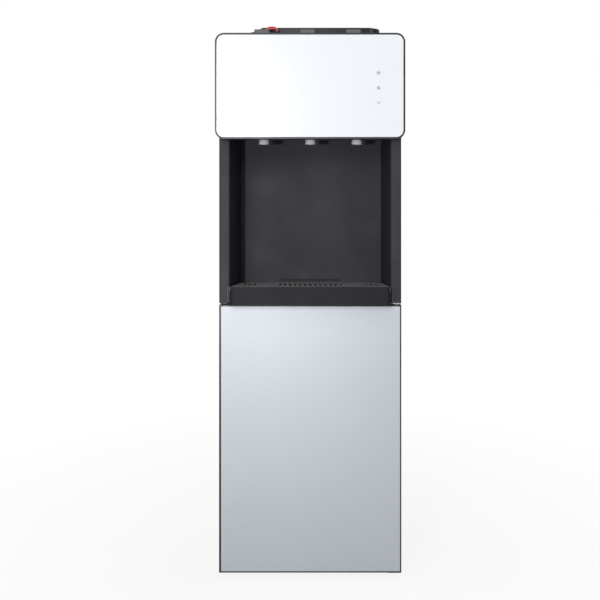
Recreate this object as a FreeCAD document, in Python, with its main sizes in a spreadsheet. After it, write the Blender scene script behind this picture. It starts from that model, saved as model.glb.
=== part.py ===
import FreeCAD, Part
import Sketcher
import math
import os
import types

# Bottom load water cooler, in millimetres. X runs to the right, Y to the back, Z up.
# The origin lies on the floor, in the middle of the object's outer box.

# Driving sizes. Each has one cell of the sheet, and everything below is worked out from them.
SIZES = {
    # casing
    "body_width": 350,
    "body_depth": 310,
    "panel_gauge": 1,
    "panel_flange": 12,
    "foot_height": 11,
    "foot_radius": 16,
    "foot_inset": 38,
    "base_height": 20,
    "base_floor": 3,
    "base_rim": 2.5,
    "base_lip": 6,
    # door
    "door_depth": 22,
    "door_gap": 4,
    "door_floor_gap": 11.5,
    "door_height": 514,
    "door_left_border": 3.8,
    "door_right_border": 2.5,
    "door_top_border": 2.9,
    "door_rail": 16,
    "door_edge_round": 3,
    "door_glass": 4,
    "liner_thickness": 2,
    "liner_seat": 4,
    "liner_panel_inset": 34,
    "magnet_length": 60,
    "magnet_width": 8,
    "hinge_inset": 8,
    "hinge_pin_radius": 3,
    "hinge_pin_length": 12,
    "hinge_plate": 2,
    "hinge_plate_width": 26,
    "running_clearance": 0.05,
    "moving_clearance": 0.4,
    # recess between the head and the door
    "fascia_gap": 3.5,
    "pillar_width": 21,
    "pillar_depth": 25,
    "pillar_round": 4,
    "recess_depth": 167,
    "recess_taper": 6.4,
    "recess_height": 338,
    "moulding_wall": 3,
    "collar_width": 4.5,
    "collar_reach": 3,
    "latch_slot_width": 122,
    "latch_slot_height": 4,
    "latch_slot_rise": 2,
    # drip tray
    "tray_overhang": 25,
    "tray_rise": 29.5,
    "tray_apron_drop": 3,
    "tray_wall": 2.5,
    "tray_ledge": 3,
    "tray_side_gap": 1,
    "tray_rear_radius": 60,
    "tray_front_radius": 8,
    "grille_thickness": 3,
    "slot_width": 4,
    "slot_pitch": 10,
    "slot_length": 104,
    "finger_hole_radius": 7.7,
    "finger_hole_spread": 87,
    # head
    "head_width": 361,
    "head_height": 201,
    "head_drop": 28,
    "head_overhang": 22.5,
    "head_depth": 62,
    "head_corner": 17,
    "head_border": 3.4,
    "head_wall": 3,
    "head_ledge": 6,
    "glass_thickness": 4,
    "glass_gap": 0.15,
    "indicator_x": 129.7,
    "indicator_pitch": 28.5,
    "indicator_drop": 104.5,
    "indicator_radius": 4.3,
    "board_width": 24,
    "board_thickness": 1.6,
    # top
    "cover_height": 13,
    "cover_corner": 10,
    "platform_left": -117.5,
    "platform_right": 141.4,
    "platform_height": 2.3,
    "platform_setback": 12,
    "console_depth": 125,
    "hood_left": -114,
    "hood_right": 133,
    "hood_height": 25.2,
    "hood_setback": 25,
    "hood_wall": 4.5,
    "hood_corner": 11,
    "hood_slope": 7,
    "hood_slope_length": 28,
    "hood_edge": 1.5,
    "hood_skin": 2.5,
    "bay_depth": 40.7,
    "bay_bow_radius": 666,
    "button_middle": -4.6,
    "button_pitch": 87.7,
    "button_width": 29.6,
    "button_front_reach": 23.5,
    "button_rear_reach": 10.5,
    "button_sink": 7,
    "button_front_rise": 10.6,
    "button_rear_rise": 15,
    "button_travel": 5,
    "button_corner": 3,
    "button_edge": 1.5,
    "well_extension": 16,
    "well_gap": 0.8,
    "guide_block_width": 6,
    "guide_block_height": 9,
    "lock_width": 23.3,
    "lock_height": 5.5,
    "lock_depth": 12,
    "lock_leg": 4,
    "lock_reach": 15.2,
    "rod_radius": 4,
    "rod_end_gap": 1,
    "guide_drop": 35,
    "guide_thickness": 3,
    "spring_radius": 6.5,
    "spring_wire": 0.6,
    # taps
    "tap_pitch": 90,
    "tap_setback": 18,
    "tap_radius": 13,
    "tap_height": 32,
    "tap_flange": 16,
    "tap_bore_depth": 13,
    "spout_drop": 34.5,
    "spout_mouth_radius": 10.15,
    "spout_neck_radius": 9,
    "spout_stem_radius": 8.2,
    "spout_skirt": 10.5,
    "spout_bore": 5,
    "feed_rise": 17,
    "feed_radius": 5,
    "feed_bore": 3.5,
    # tanks
    "tank_shelf_gauge": 1.5,
    "tank_right_gap": 7,
    "tank_middle_gap": 11,
    "tank_left_gap": 28,
    "tank_rear_gap": 17,
    "cold_jacket_size": 190,
    "cold_jacket_height": 160,
    "cold_jacket_floor": 20,
    "cold_jacket_corner": 10,
    "cold_jacket_wall": 13,
    "cold_tank_gap": 14,
    "cold_tank_height": 124,
    "tank_lid": 8,
    "tank_sheet": 1,
    "coil_tube_radius": 4,
    "coil_pitch": 17,
    "hot_y": 50,
    "hot_jacket_height": 146,
    "hot_jacket_floor": 10,
    "hot_jacket_wall": 5,
    "hot_tank_gap": 5,
    "hot_tank_height": 128,
    "heater_height": 30,
    "heater_thickness": 3.3,
    # machine bay
    "shelf_gauge": 1.5,
    "compressor_inset": 99,
    "compressor_y": 79,
    "compressor_radius": 52,
    "compressor_height": 136,
    "compressor_plate_length": 150,
    "compressor_plate_width": 96,
    "compressor_plate": 2.5,
    "compressor_seam": 61,
    "compressor_base_inset": 12,
    "compressor_base_rise": 11.5,
    "compressor_dome": 36,
    "compressor_shoulder": 16,
    "compressor_shoulder_drop": 10,
    "compressor_crown": 34,
    "relay_reach": 10,
    "relay_width": 36,
    "relay_height": 34,
    "relay_drop": 6,
    "grommet_height": 12,
    "grommet_radius": 9,
    "stub_spread": 25,
    "stub_height": 6,
    "stub_root": 20,
    "capillary_x": 20,
    "line_radius": 3,
    "drier_radius": 9.5,
    "drier_length": 110,
    "drier_neck": 8,
    "drier_cone": 8,
    "drier_rise": 71,
    "line_gap": 16,
    "pump_x": -60,
    "pump_y": 95,
    "pump_height": 60,
    "pump_head": 36,
    "pump_motor_radius": 22,
    "pump_motor_length": 44,
    "delivery_x": 0,
    "hose_radius": 5,
    # condenser
    "condenser_reach": 35,
    "condenser_left_inset": 80,
    "condenser_right_inset": 35,
    "condenser_rise": 36,
    "condenser_pitch": 36,
    "condenser_passes": 12,
    "condenser_tube": 2.5,
    "condenser_wire": 0.8,
    "wire_pitch": 12,
    "bracket_size": 12,
    "louvre_length": 62,
    "louvre_height": 5,
    "louvre_pitch": 15,
    "louvre_column_pitch": 80,
    # bottle probe
    "probe_inset": 32,
    "probe_y": 95,
    "probe_drop": 35.5,
    "probe_radius": 29,
    "probe_height": 24,
    "probe_wall": 2,
    "dip_tube_radius": 6,
    "dip_tube_bottom": 60,
    "holder_thickness": 4,
    "holder_width": 30,
    # rear services
    "service_inset": 25,
    "switch_rise": 60,
    "switch_pitch": 30,
    "rocker_width": 13,
    "rocker_height": 19,
    "rocker_pivot": 1.5,
    "rocker_sink": 3,
    "rocker_tilt": 7,
    "bezel_wall": 3,
    "bezel_depth": 20,
    "inlet_rise": 111,
    "inlet_width": 28,
    "inlet_height": 36,
    "inlet_depth": 24,
    "drain_drop": 20,
    "drain_radius": 6,
    "drain_reach": 12,
    "cap_radius": 11,
    "cap_length": 15,
    "cap_grip": 1.5,
}

doc = FreeCAD.newDocument("WaterCooler")
sheet = doc.addObject("Spreadsheet::Sheet", "Sizes")
for row, (name, amount) in enumerate(SIZES.items(), start=1):
    sheet.set(f"A{row}", name)
    sheet.set(f"B{row}", str(amount))
    sheet.setAlias(f"B{row}", name)
doc.recompute()


class Size:
    """A length that is both a number and a formula over the cells of the sheet."""

    def __init__(self, amount, text):
        self.amount = amount
        self.text = text

    def __add__(self, other):
        return Size(self.amount + number(other), f"({self.text} + {formula(other)})")

    def __sub__(self, other):
        return Size(self.amount - number(other), f"({self.text} - {formula(other)})")

    def __mul__(self, other):
        return Size(self.amount * number(other), f"({self.text} * {formula(other)})")

    def __truediv__(self, other):
        return Size(self.amount / number(other), f"({self.text} / {formula(other)})")

    def __radd__(self, other):
        return as_size(other) + self

    def __rsub__(self, other):
        return as_size(other) - self

    def __rmul__(self, other):
        return as_size(other) * self

    def __neg__(self):
        return as_size(0) - self


def number(amount):
    return amount.amount if isinstance(amount, Size) else float(amount)


def formula(amount):
    return amount.text if isinstance(amount, Size) else f"({float(amount)})"


def as_size(amount):
    return Size(number(amount), formula(amount))


s = types.SimpleNamespace(**{name: Size(float(sheet.get(name)), f"Sizes.{name}") for name in SIZES})


# ---------------------------------------------------------------- tools of the model

nodes = {}
PLANES = {"top": "XY_Plane", "front": "XZ_Plane", "side": "YZ_Plane"}
NORMAL_SIGN = {"top": 1, "front": -1, "side": 1}


def bind(thing, name, amount):
    thing.setExpression(name, formula(amount))


def place(thing, x=0, y=0, z=0):
    bind(thing, "Placement.Base.x", x)
    bind(thing, "Placement.Base.y", y)
    bind(thing, "Placement.Base.z", z)


def keep(name, thing):
    """Name a finished sub-part and put it on the list of nodes."""
    thing.Label = name
    nodes[name] = thing
    return thing


def new_body(name, x=0, y=0, z=0):
    body = doc.addObject("PartDesign::Body", name)
    place(body, x, y, z)
    return keep(name, body)


def new_sketch(body, plane, level):
    """A sketch on one of the body's origin planes, moved to a level along that plane's axis."""
    drawing = body.newObject("Sketcher::SketchObject", "Sketch")
    support = next(item for item in body.Origin.OriginFeatures if item.Role == PLANES[plane])
    drawing.AttachmentSupport = (support, "")
    drawing.MapMode = "FlatFace"
    bind(drawing, "AttachmentOffset.Base.z", NORMAL_SIGN[plane] * as_size(level))
    return drawing


def fix_point(drawing, item, end, x, y):
    for kind, amount in (("DistanceX", x), ("DistanceY", y)):
        index = drawing.addConstraint(Sketcher.Constraint(kind, -1, 1, item, end, number(amount)))
        drawing.setExpression(f"Constraints[{index}]", formula(amount))


def arc_between(start, end, radius):
    """Arc from start to end, bulging to the right of the way from one to the other."""
    chord = end - start
    middle = (start + end) * 0.5
    right = FreeCAD.Vector(chord.y, -chord.x, 0).normalize()
    rise = radius - math.sqrt(radius ** 2 - chord.Length ** 2 / 4)
    return Part.Arc(start, middle + right * rise, end)


def outline(*points):
    """Closed outline. A point is x, y and, where an arc starts at it, the arc's radius."""

    def draw(drawing):
        first = drawing.GeometryCount
        spots = [FreeCAD.Vector(number(point[0]), number(point[1]), 0) for point in points]
        starts = []
        for index, point in enumerate(points):
            start = spots[index]
            end = spots[(index + 1) % len(points)]
            if len(point) == 3:
                curve = arc_between(start, end, number(point[2]))
                added = drawing.addGeometry(curve)
                arc = drawing.Geometry[added]
                starts.append(1 if arc.StartPoint.distanceToPoint(start) < 1e-6 else 2)
                radius = drawing.addConstraint(Sketcher.Constraint("Radius", added, number(point[2])))
                drawing.setExpression(f"Constraints[{radius}]", formula(point[2]))
            else:
                drawing.addGeometry(Part.LineSegment(start, end))
                starts.append(1)
        for index, point in enumerate(points):
            after = (index + 1) % len(points)
            near_end = 3 - starts[index]
            joint = Sketcher.Constraint("Coincident", first + index, near_end, first + after, starts[after])
            drawing.addConstraint(joint)
            fix_point(drawing, first + index, starts[index], point[0], point[1])

    return draw


def rectangle(x0, x1, y0, y1):
    return outline((x0, y0), (x1, y0), (x1, y1), (x0, y1))


def rounded(x0, x1, y0, y1, r):
    """Rectangle with round corners."""
    return outline((x0 + r, y0), (x1 - r, y0, r), (x1, y0 + r), (x1, y1 - r, r),
                   (x1 - r, y1), (x0 + r, y1, r), (x0, y1 - r), (x0, y0 + r, r))


def circle(x, y, radius):
    def draw(drawing):
        centre = FreeCAD.Vector(number(x), number(y), 0)
        added = drawing.addGeometry(Part.Circle(centre, FreeCAD.Vector(0, 0, 1), number(radius)))
        index = drawing.addConstraint(Sketcher.Constraint("Radius", added, number(radius)))
        drawing.setExpression(f"Constraints[{index}]", formula(radius))
        fix_point(drawing, added, 3, x, y)

    return draw


def add(body, plane, low, high, *shapes):
    """Pad the shapes from one level to another along the plane's axis."""
    drawing = new_sketch(body, plane, low)
    for shape in shapes:
        shape(drawing)
    feature = body.newObject("PartDesign::Pad", "Pad")
    feature.Profile = drawing
    bind(feature, "Length", high - as_size(low))
    feature.Reversed = plane == "front"
    doc.recompute()
    return feature


def take(body, plane, low, high, *shapes):
    """Cut the shapes away from one level to another along the plane's axis."""
    before = body.Shape.Volume
    drawing = new_sketch(body, plane, low)
    for shape in shapes:
        shape(drawing)
    feature = body.newObject("PartDesign::Pocket", "Pocket")
    feature.Profile = drawing
    bind(feature, "Length", high - as_size(low))
    feature.Reversed = plane != "front"
    doc.recompute()
    if not body.Shape.Volume < before:
        raise RuntimeError(f"a pocket of {body.Label} cuts nothing")
    return feature


def turn(body, *points):
    """Revolve an outline of radius and height about the body's own vertical axis."""
    drawing = new_sketch(body, "front", 0)
    outline(*points)(drawing)
    feature = body.newObject("PartDesign::Revolution", "Revolution")
    feature.Profile = drawing
    feature.ReferenceAxis = (drawing, ["V_Axis"])
    feature.Angle = 360
    doc.recompute()
    return feature


def upright(x=None, y=None, z=None):
    """Test for straight edges along Z, at the given places where they are given."""
    return straight("z", x=x, y=y, z=z)


def straight(axis, **places):
    def test(edge):
        ends = [vertex.Point for vertex in edge.Vertexes]
        if len(ends) != 2 or edge.Curve.TypeId != "Part::GeomLine":
            return False
        way = (ends[1] - ends[0]).normalize()
        if abs(abs(getattr(way, axis)) - 1) > 1e-6:
            return False
        middle = (ends[0] + ends[1]) * 0.5
        wanted = {key: value for key, value in places.items() if value is not None}
        return all(abs(getattr(middle, key) - number(value)) < 0.01 for key, value in wanted.items())

    return test


def level(axis, place):
    """Test for edges that lie wholly at one level of an axis."""
    def test(edge):
        points = [vertex.Point for vertex in edge.Vertexes]
        return all(abs(getattr(point, axis) - number(place)) < 0.01 for point in points)

    return test


def above(axis, place):
    """Test for edges that lie wholly at or above a level of an axis."""
    def test(edge):
        points = [vertex.Point for vertex in edge.Vertexes]
        return all(getattr(point, axis) > number(place) - 0.01 for point in points)

    return test


def soften(body, radius, *tests, kind="PartDesign::Fillet"):
    """Round or bevel the edges of the body's last feature that meet any of the tests."""
    base = body.Tip
    names = []
    for index, edge in enumerate(base.Shape.Edges, start=1):
        if any(test(edge) for test in tests):
            names.append(f"Edge{index}")
    if not names:
        raise RuntimeError(f"{body.Label} has no edge to soften")
    feature = body.newObject(kind, "Soft")
    feature.Base = (base, names)
    bind(feature, "Radius" if kind.endswith("Fillet") else "Size", radius)
    doc.recompute()
    return feature


def repeat(body, feature, drawing_axis, pitch, count):
    """Repeat the last feature along an axis of its own sketch."""
    pattern = body.newObject("PartDesign::LinearPattern", "Pattern")
    pattern.Originals = [feature]
    pattern.Direction = (feature.Profile[0], [drawing_axis])
    bind(pattern, "Length", pitch * (count - 1))
    pattern.Occurrences = count
    body.Tip = pattern
    doc.recompute()
    return pattern


def box(name, x, y, z):
    """Part box between pairs of levels."""
    block = doc.addObject("Part::Box", name)
    bind(block, "Length", x[1] - as_size(x[0]))
    bind(block, "Width", y[1] - as_size(y[0]))
    bind(block, "Height", z[1] - as_size(z[0]))
    place(block, x[0], y[0], z[0])
    return block


TURNS = {
    "z": FreeCAD.Rotation(),
    "y": FreeCAD.Rotation(FreeCAD.Vector(1, 0, 0), -90),
    "x": FreeCAD.Rotation(FreeCAD.Vector(0, 1, 0), 90),
}


def rod(name, start, length, radius, axis="z"):
    """Part cylinder from a start point along an axis."""
    cylinder = doc.addObject("Part::Cylinder", name)
    bind(cylinder, "Radius", radius)
    bind(cylinder, "Height", length)
    cylinder.Placement.Rotation = TURNS[axis]
    place(cylinder, *start)
    return cylinder


def fuse(name, *shapes):
    union = doc.addObject("Part::MultiFuse", name)
    union.Shapes = list(shapes)
    return union


def cut(name, base, *tools):
    result = doc.addObject("Part::Cut", name)
    result.Base = base
    result.Tool = tools[0] if len(tools) == 1 else fuse(name + "Tools", *tools)
    return result


def route(points, bend):
    """Centre line through the points, each corner rounded off in short steps."""
    spots = [FreeCAD.Vector(*[number(value) for value in point]) for point in points]
    line = [spots[0]]
    for before, corner, after in zip(spots, spots[1:], spots[2:]):
        back = (before - corner).normalize()
        ahead = (after - corner).normalize()
        half = back.getAngle(ahead) / 2
        centre = corner + (back + ahead).normalize() * (bend / math.sin(half))
        entry = corner + back * (bend / math.tan(half)) - centre
        axis = back.cross(ahead).normalize()
        sweep = math.degrees(math.pi - 2 * half)
        for step in range(BEND_STEPS + 1):
            turned = FreeCAD.Rotation(axis, -sweep * step / BEND_STEPS).multVec(entry)
            spot = centre + turned
            if spot.distanceToPoint(line[-1]) > 1e-6:
                line.append(spot)
    if spots[-1].distanceToPoint(line[-1]) > 1e-6:
        line.append(spots[-1])
    return line


def spiral(radius, pitch, turns, steps):
    """Centre line of a coil about the Z axis."""
    line = []
    for step in range(turns * steps + 1):
        angle = 2 * math.pi * step / steps
        line.append(FreeCAD.Vector(radius * math.cos(angle), radius * math.sin(angle), pitch * step / steps))
    return line


def tube_along(line, radius, sides=8):
    """Flat-sided tube along a centre line, mitred where the line turns."""
    radius = number(radius)
    ways = [(after - before).normalize() for before, after in zip(line, line[1:])]
    side_way = ways[0].cross(FreeCAD.Vector(0.31, 0.52, 0.79)).normalize()
    other_way = ways[0].cross(side_way)
    ring = []
    for index in range(sides):
        angle = 2 * math.pi * (index + 0.5) / sides
        ring.append(line[0] + (side_way * math.cos(angle) + other_way * math.sin(angle)) * radius)
    faces = [Part.Face(Part.makePolygon(ring + ring[:1]))]
    for index, way in enumerate(ways):
        spot = line[index + 1]
        normal = way if index == len(ways) - 1 else (way + ways[index + 1]).normalize()
        far = [point + way * ((spot - point).dot(normal) / way.dot(normal)) for point in ring]
        for near_a, near_b, far_b, far_a in zip(ring, ring[1:] + ring[:1], far[1:] + far[:1], far):
            faces.append(Part.Face(Part.makePolygon([near_a, near_b, far_b, far_a, near_a])))
        ring = far
    faces.append(Part.Face(Part.makePolygon(ring + ring[:1])))
    shell = Part.makeShell(faces)
    shell.sewShape()
    solid = Part.Solid(shell)
    if solid.Volume < 0:
        solid.reverse()
    return solid


def drawn(name, shape, x=0, y=0, z=0):
    """Sub-part whose shape no primitive or body feature makes, drawn about its own place."""
    thing = doc.addObject("Part::Feature", name)
    thing.Shape = shape
    place(thing, x, y, z)
    return keep(name, thing)


# ---------------------------------------------------------------- levels that pieces share

side = s.body_width / 2
front = (s.tray_overhang - s.body_depth - s.condenser_reach) / 2
back = front + s.body_depth
gauge = s.panel_gauge
inner_side = side - gauge
panel_front = front + s.door_depth + s.door_gap
inner_front = panel_front + gauge
inner_back = back - 2 * gauge
door_top = s.door_floor_gap + s.door_height
door_back = front + s.door_depth
fascia_bottom = door_top + s.fascia_gap
wall = s.moulding_wall
recess_floor = fascia_bottom + wall
recess_top = recess_floor + s.recess_height
tray_top = recess_floor + s.tray_rise
apron_bottom = fascia_bottom - s.tray_apron_drop
head_bottom = recess_top - s.head_drop
deck = head_bottom + s.head_height
indicator_middle = deck - s.indicator_drop
guide_level = deck - s.guide_drop
panel_top = deck - s.cover_height
head_front = front - s.head_overhang
head_back = head_front + s.head_depth
head_side = s.head_width / 2
opening = side - s.pillar_width
recess_back = front + s.recess_depth
moulding_back = recess_back + wall
tap_y = front + s.tap_setback
tap_base = recess_top + wall
tap_top = tap_base + s.tap_height
tank_floor = tap_base + s.tank_shelf_gauge
machine_floor = fascia_bottom + s.shelf_gauge
tap_places = {"hot": -s.tap_pitch, "room": as_size(0), "cold": s.tap_pitch}
button_places = {
    "hot": s.button_middle - s.button_pitch,
    "room": s.button_middle,
    "cold": s.button_middle + s.button_pitch,
}
line_y = inner_back - s.line_gap
cold_x = inner_side - s.tank_right_gap - s.cold_jacket_size / 2
cold_y = line_y - s.tank_rear_gap - s.cold_jacket_size / 2
cold_cavity_radius = s.cold_jacket_size / 2 - s.cold_jacket_wall
cold_tank_radius = cold_cavity_radius - s.cold_tank_gap
tank_gaps = s.tank_right_gap + s.tank_middle_gap + s.tank_left_gap
hot_jacket_radius = inner_side - s.cold_jacket_size / 2 - tank_gaps / 2
hot_tank_radius = hot_jacket_radius - s.hot_jacket_wall - s.hot_tank_gap
hot_x = s.tank_left_gap + hot_jacket_radius - inner_side
compressor_x = inner_side - s.compressor_inset
drier_level = fascia_bottom + s.drier_rise
condenser_left = s.condenser_left_inset - side
condenser_right = side - s.condenser_right_inset
condenser_bottom = fascia_bottom + s.condenser_rise
probe_x = s.probe_inset - side
probe_level = door_top - s.probe_drop
service_x = s.service_inset - side
switch_level = recess_top + s.switch_rise
inlet_level = fascia_bottom + s.inlet_rise
drain_level = recess_top - s.drain_drop


# ---------------------------------------------------------------- casing

def make_base_pan():
    pan = new_body("base_pan")
    top = s.foot_height + s.base_height
    add(pan, "top", s.foot_height, top, rectangle(-inner_side, inner_side, inner_front, inner_back))
    inner_x = inner_side - s.base_rim
    inside = rectangle(-inner_x, inner_x, inner_front + s.base_rim, inner_back - s.base_rim)
    take(pan, "top", s.foot_height + s.base_floor, top, inside)
    lip = rectangle(-inner_x, inner_x, inner_front, inner_front + s.base_rim)
    take(pan, "top", s.foot_height + s.base_lip, top, lip)


def make_feet():
    places = []
    for x in (-(side - s.foot_inset), side - s.foot_inset):
        for y in (panel_front + s.foot_inset, back - s.foot_inset):
            places.append((x, y))
    rods = []
    for index, (x, y) in enumerate(places):
        rods.append(rod(f"foot{index}", (x, y, 0), s.foot_height, s.foot_radius))
    group = doc.addObject("Part::Compound", "feet")
    group.Links = rods
    keep("feet", group)


def make_side_panel(name, sign):
    """Folded sheet with a narrow flange at its front and rear edges."""
    panel = new_body(name)
    outer = sign * side
    inner = sign * inner_side
    flange = sign * (side - s.panel_flange)
    section = outline(
        (outer, panel_front), (flange, panel_front), (flange, inner_front), (inner, inner_front),
        (inner, inner_back), (flange, inner_back), (flange, back - gauge), (outer, back - gauge),
    )
    add(panel, "top", s.foot_height, panel_top, section)


def make_rear_panel():
    """Rear sheet with rows of louvres, holes for the lines and the service fittings."""
    panel = new_body("rear_panel")
    add(panel, "front", back - gauge, back, rectangle(-side, side, s.foot_height, panel_top))
    slots = []
    louvre_bottom = condenser_bottom + s.condenser_pitch / 4
    for column in range(LOUVRE_COLUMNS):
        left = condenser_right - s.louvre_length - s.louvre_column_pitch * column
        slots.append(rectangle(left, left + s.louvre_length, louvre_bottom, louvre_bottom + s.louvre_height))
    row = take(panel, "front", back - gauge, back, *slots)
    repeat(panel, row, "V_Axis", s.louvre_pitch, LOUVRE_ROWS)
    bezel_x = s.rocker_width / 2 + s.bezel_wall - s.bezel_wall / 2
    bezel_z = s.switch_pitch / 2 + s.rocker_height / 2 + s.bezel_wall / 2
    inlet_x = s.inlet_width / 2 - s.bezel_wall / 2
    inlet_z = s.inlet_height / 2 - s.bezel_wall / 2
    hole = s.line_radius + s.moving_clearance
    top_run = condenser_bottom + s.condenser_pitch * (s.condenser_passes - 1)
    take(
        panel, "front", back - gauge, back,
        rectangle(service_x - bezel_x, service_x + bezel_x, switch_level - bezel_z, switch_level + bezel_z),
        rectangle(service_x - inlet_x, service_x + inlet_x, inlet_level - inlet_z, inlet_level + inlet_z),
        circle(service_x, drain_level, s.drain_radius + s.moving_clearance),
        circle(condenser_left, condenser_bottom, hole),
        circle(condenser_left, top_run, hole),
    )


def make_recess_moulding():
    """Pillars, tapered walls, back panel, floor and ceiling of the dispensing recess, in one moulding."""
    moulding = new_body("recess_moulding")
    bottom = fascia_bottom
    top = recess_top + wall
    add(moulding, "front", front, front + s.pillar_depth, rectangle(-side, side, bottom, top))
    near = opening + wall
    far = near - s.recess_taper
    shell = outline((-near, front), (near, front), (far, moulding_back), (-far, moulding_back))
    add(moulding, "top", bottom, top, shell)
    deep = opening - s.recess_taper
    r = s.pillar_round
    take(moulding, "top", recess_floor, recess_top, outline(
        (-opening - r, front, r), (-opening, front + r), (-deep, recess_back), (deep, recess_back),
        (opening, front + r, r), (opening + r, front),
    ))
    hollows = []
    for sign in (-1, 1):
        hollows.append(rectangle(sign * near, sign * (side - wall), recess_floor, recess_top))
    take(moulding, "front", front + wall, front + s.pillar_depth, *hollows)
    collar = opening + s.collar_width
    add(moulding, "front", front - s.collar_reach, front + r, outline(
        (-collar, bottom), (collar, bottom), (collar, tray_top), (opening, tray_top),
        (opening, recess_floor), (-opening, recess_floor), (-opening, tray_top), (-collar, tray_top),
    ))
    slot_z = tray_top + s.latch_slot_rise
    half_slot = s.latch_slot_width / 2
    take(moulding, "front", recess_back, moulding_back,
         rectangle(-half_slot, half_slot, slot_z, slot_z + s.latch_slot_height))
    holes = [circle(x, tap_y, s.spout_stem_radius + s.moving_clearance) for x in tap_places.values()]
    take(moulding, "top", recess_top, top, *holes)
    soften(moulding, s.collar_reach, upright(x=-side, y=front), upright(x=side, y=front))


def make_shelf(name, low, high, front_edge, holes):
    """Sheet shelf that reaches from one side panel to the other."""
    shelf = new_body(name)
    add(shelf, "top", low, high, rectangle(-inner_side, inner_side, front_edge, inner_back))
    take(shelf, "top", low, high, *holes)


# ---------------------------------------------------------------- drip tray

def tray_outline(inset):
    """Plan of the tray, narrower towards the back like the recess."""
    half = opening - s.tray_side_gap - inset
    rear = half - s.recess_taper
    near = front - s.tray_overhang + inset
    far = recess_back - s.tray_side_gap - inset
    return outline((-half, near), (half, near), (half, front), (rear, far), (-rear, far), (-half, front))


def round_tray(body, inset, near_radius):
    """Round the large rear corners and the small front corners of a tray outline."""
    half = opening - s.tray_side_gap - inset
    far = recess_back - s.tray_side_gap - inset
    near = front - s.tray_overhang + inset
    rear = half - s.recess_taper
    soften(body, s.tray_rear_radius - inset, upright(x=rear, y=far), upright(x=-rear, y=far))
    soften(body, near_radius, upright(x=half, y=near), upright(x=-half, y=near))


def make_drip_tray():
    tray = new_body("drip_tray")
    floor = recess_floor + s.moving_clearance
    add(tray, "top", floor, tray_top, tray_outline(as_size(0)))
    half = opening - s.tray_side_gap
    near = front - s.tray_overhang
    apron = rectangle(-half, half, near, front - s.collar_reach - s.moving_clearance)
    add(tray, "top", apron_bottom, floor, apron)
    rim = s.tray_wall + s.tray_ledge
    take(tray, "top", floor + s.tray_wall, tray_top, tray_outline(rim))
    round_tray(tray, rim, s.tray_front_radius / 2)
    take(tray, "top", tray_top - s.grille_thickness, tray_top, tray_outline(s.tray_wall))
    round_tray(tray, s.tray_wall, s.tray_front_radius / 2)
    round_tray(tray, as_size(0), s.tray_front_radius)


def make_drip_grille():
    """Flat grille with three fields of slots and a finger hole in each gap between them."""
    grille = new_body("drip_grille")
    inset = s.tray_wall + s.moving_clearance
    low = tray_top - s.grille_thickness
    add(grille, "top", low, tray_top, tray_outline(inset))
    round_tray(grille, inset, s.tray_front_radius / 2)
    middle = (front - s.tray_overhang + recess_back) / 2
    ends = (middle - s.slot_length / 2, middle + s.slot_length / 2)
    holes = [circle(sign * s.finger_hole_spread, middle, s.finger_hole_radius) for sign in (-1, 1)]
    take(grille, "top", low, tray_top, *holes)
    half_slot = s.slot_width / 2
    for first, count in ((-6, 13), (-13, 3), (11, 3)):
        x = s.slot_pitch * first
        slot = rectangle(x - half_slot, x + half_slot, *ends)
        feature = take(grille, "top", low, tray_top, slot)
        repeat(grille, feature, "H_Axis", s.slot_pitch, count)


# ---------------------------------------------------------------- head

def head_outline(inset):
    x = head_side - inset
    return rounded(-x, x, head_bottom + inset, deck - inset, s.head_corner - inset)


def button_well(x):
    """Hole in the console for one button and the space beside it."""
    left = x - s.button_width / 2 - s.well_gap
    right = x + s.button_width / 2 + s.well_extension
    return rectangle(left, right, tap_y - s.button_front_reach - s.well_gap,
                     tap_y + s.button_rear_reach + s.well_gap)


def make_head_frame():
    """Black frame round the glass, with the guide plate of the push rods inside."""
    frame = new_body("head_frame")
    glass_back = head_front + s.glass_thickness
    ledge_back = glass_back + s.head_wall
    add(frame, "front", head_front, head_back, head_outline(as_size(0)))
    take(frame, "front", head_front, glass_back, head_outline(s.head_border))
    inset = s.head_border + s.head_ledge
    take(frame, "front", glass_back, ledge_back, head_outline(inset))
    take(frame, "front", ledge_back, head_back, head_outline(s.head_wall))
    clear = side + s.moving_clearance
    take(frame, "top", head_bottom, head_bottom + s.head_corner + s.head_wall,
         rectangle(-clear, clear, front, head_back))
    guide_back = panel_front - s.moving_clearance
    guide_side = head_side - s.head_wall
    add(frame, "top", guide_level, guide_level + s.guide_thickness,
        rectangle(-guide_side, guide_side, ledge_back, guide_back))
    holes = [circle(x, tap_y, s.rod_radius + s.moving_clearance) for x in tap_places.values()]
    take(frame, "top", guide_level, guide_level + s.guide_thickness, *holes)
    well_front = tap_y - s.button_front_reach - s.well_gap
    well_left = s.button_middle - s.button_pitch - s.button_width / 2 - s.well_gap
    well_right = s.button_middle + s.button_pitch + s.button_width / 2 + s.well_extension
    take(frame, "top", deck - s.head_wall, deck,
         rectangle(well_left, well_right, well_front, tap_y + s.button_rear_reach + s.well_gap))


def indicator_levels():
    return [indicator_middle + s.indicator_pitch * step for step in (1, 0, -1)]


def make_head_glass():
    glass = new_body("head_glass")
    inset = s.head_border + s.glass_gap
    add(glass, "front", head_front, head_front + s.glass_thickness, head_outline(inset))
    holes = [circle(s.indicator_x, z, s.indicator_radius + s.running_clearance) for z in indicator_levels()]
    take(glass, "front", head_front, head_front + s.glass_thickness, *holes)


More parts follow.
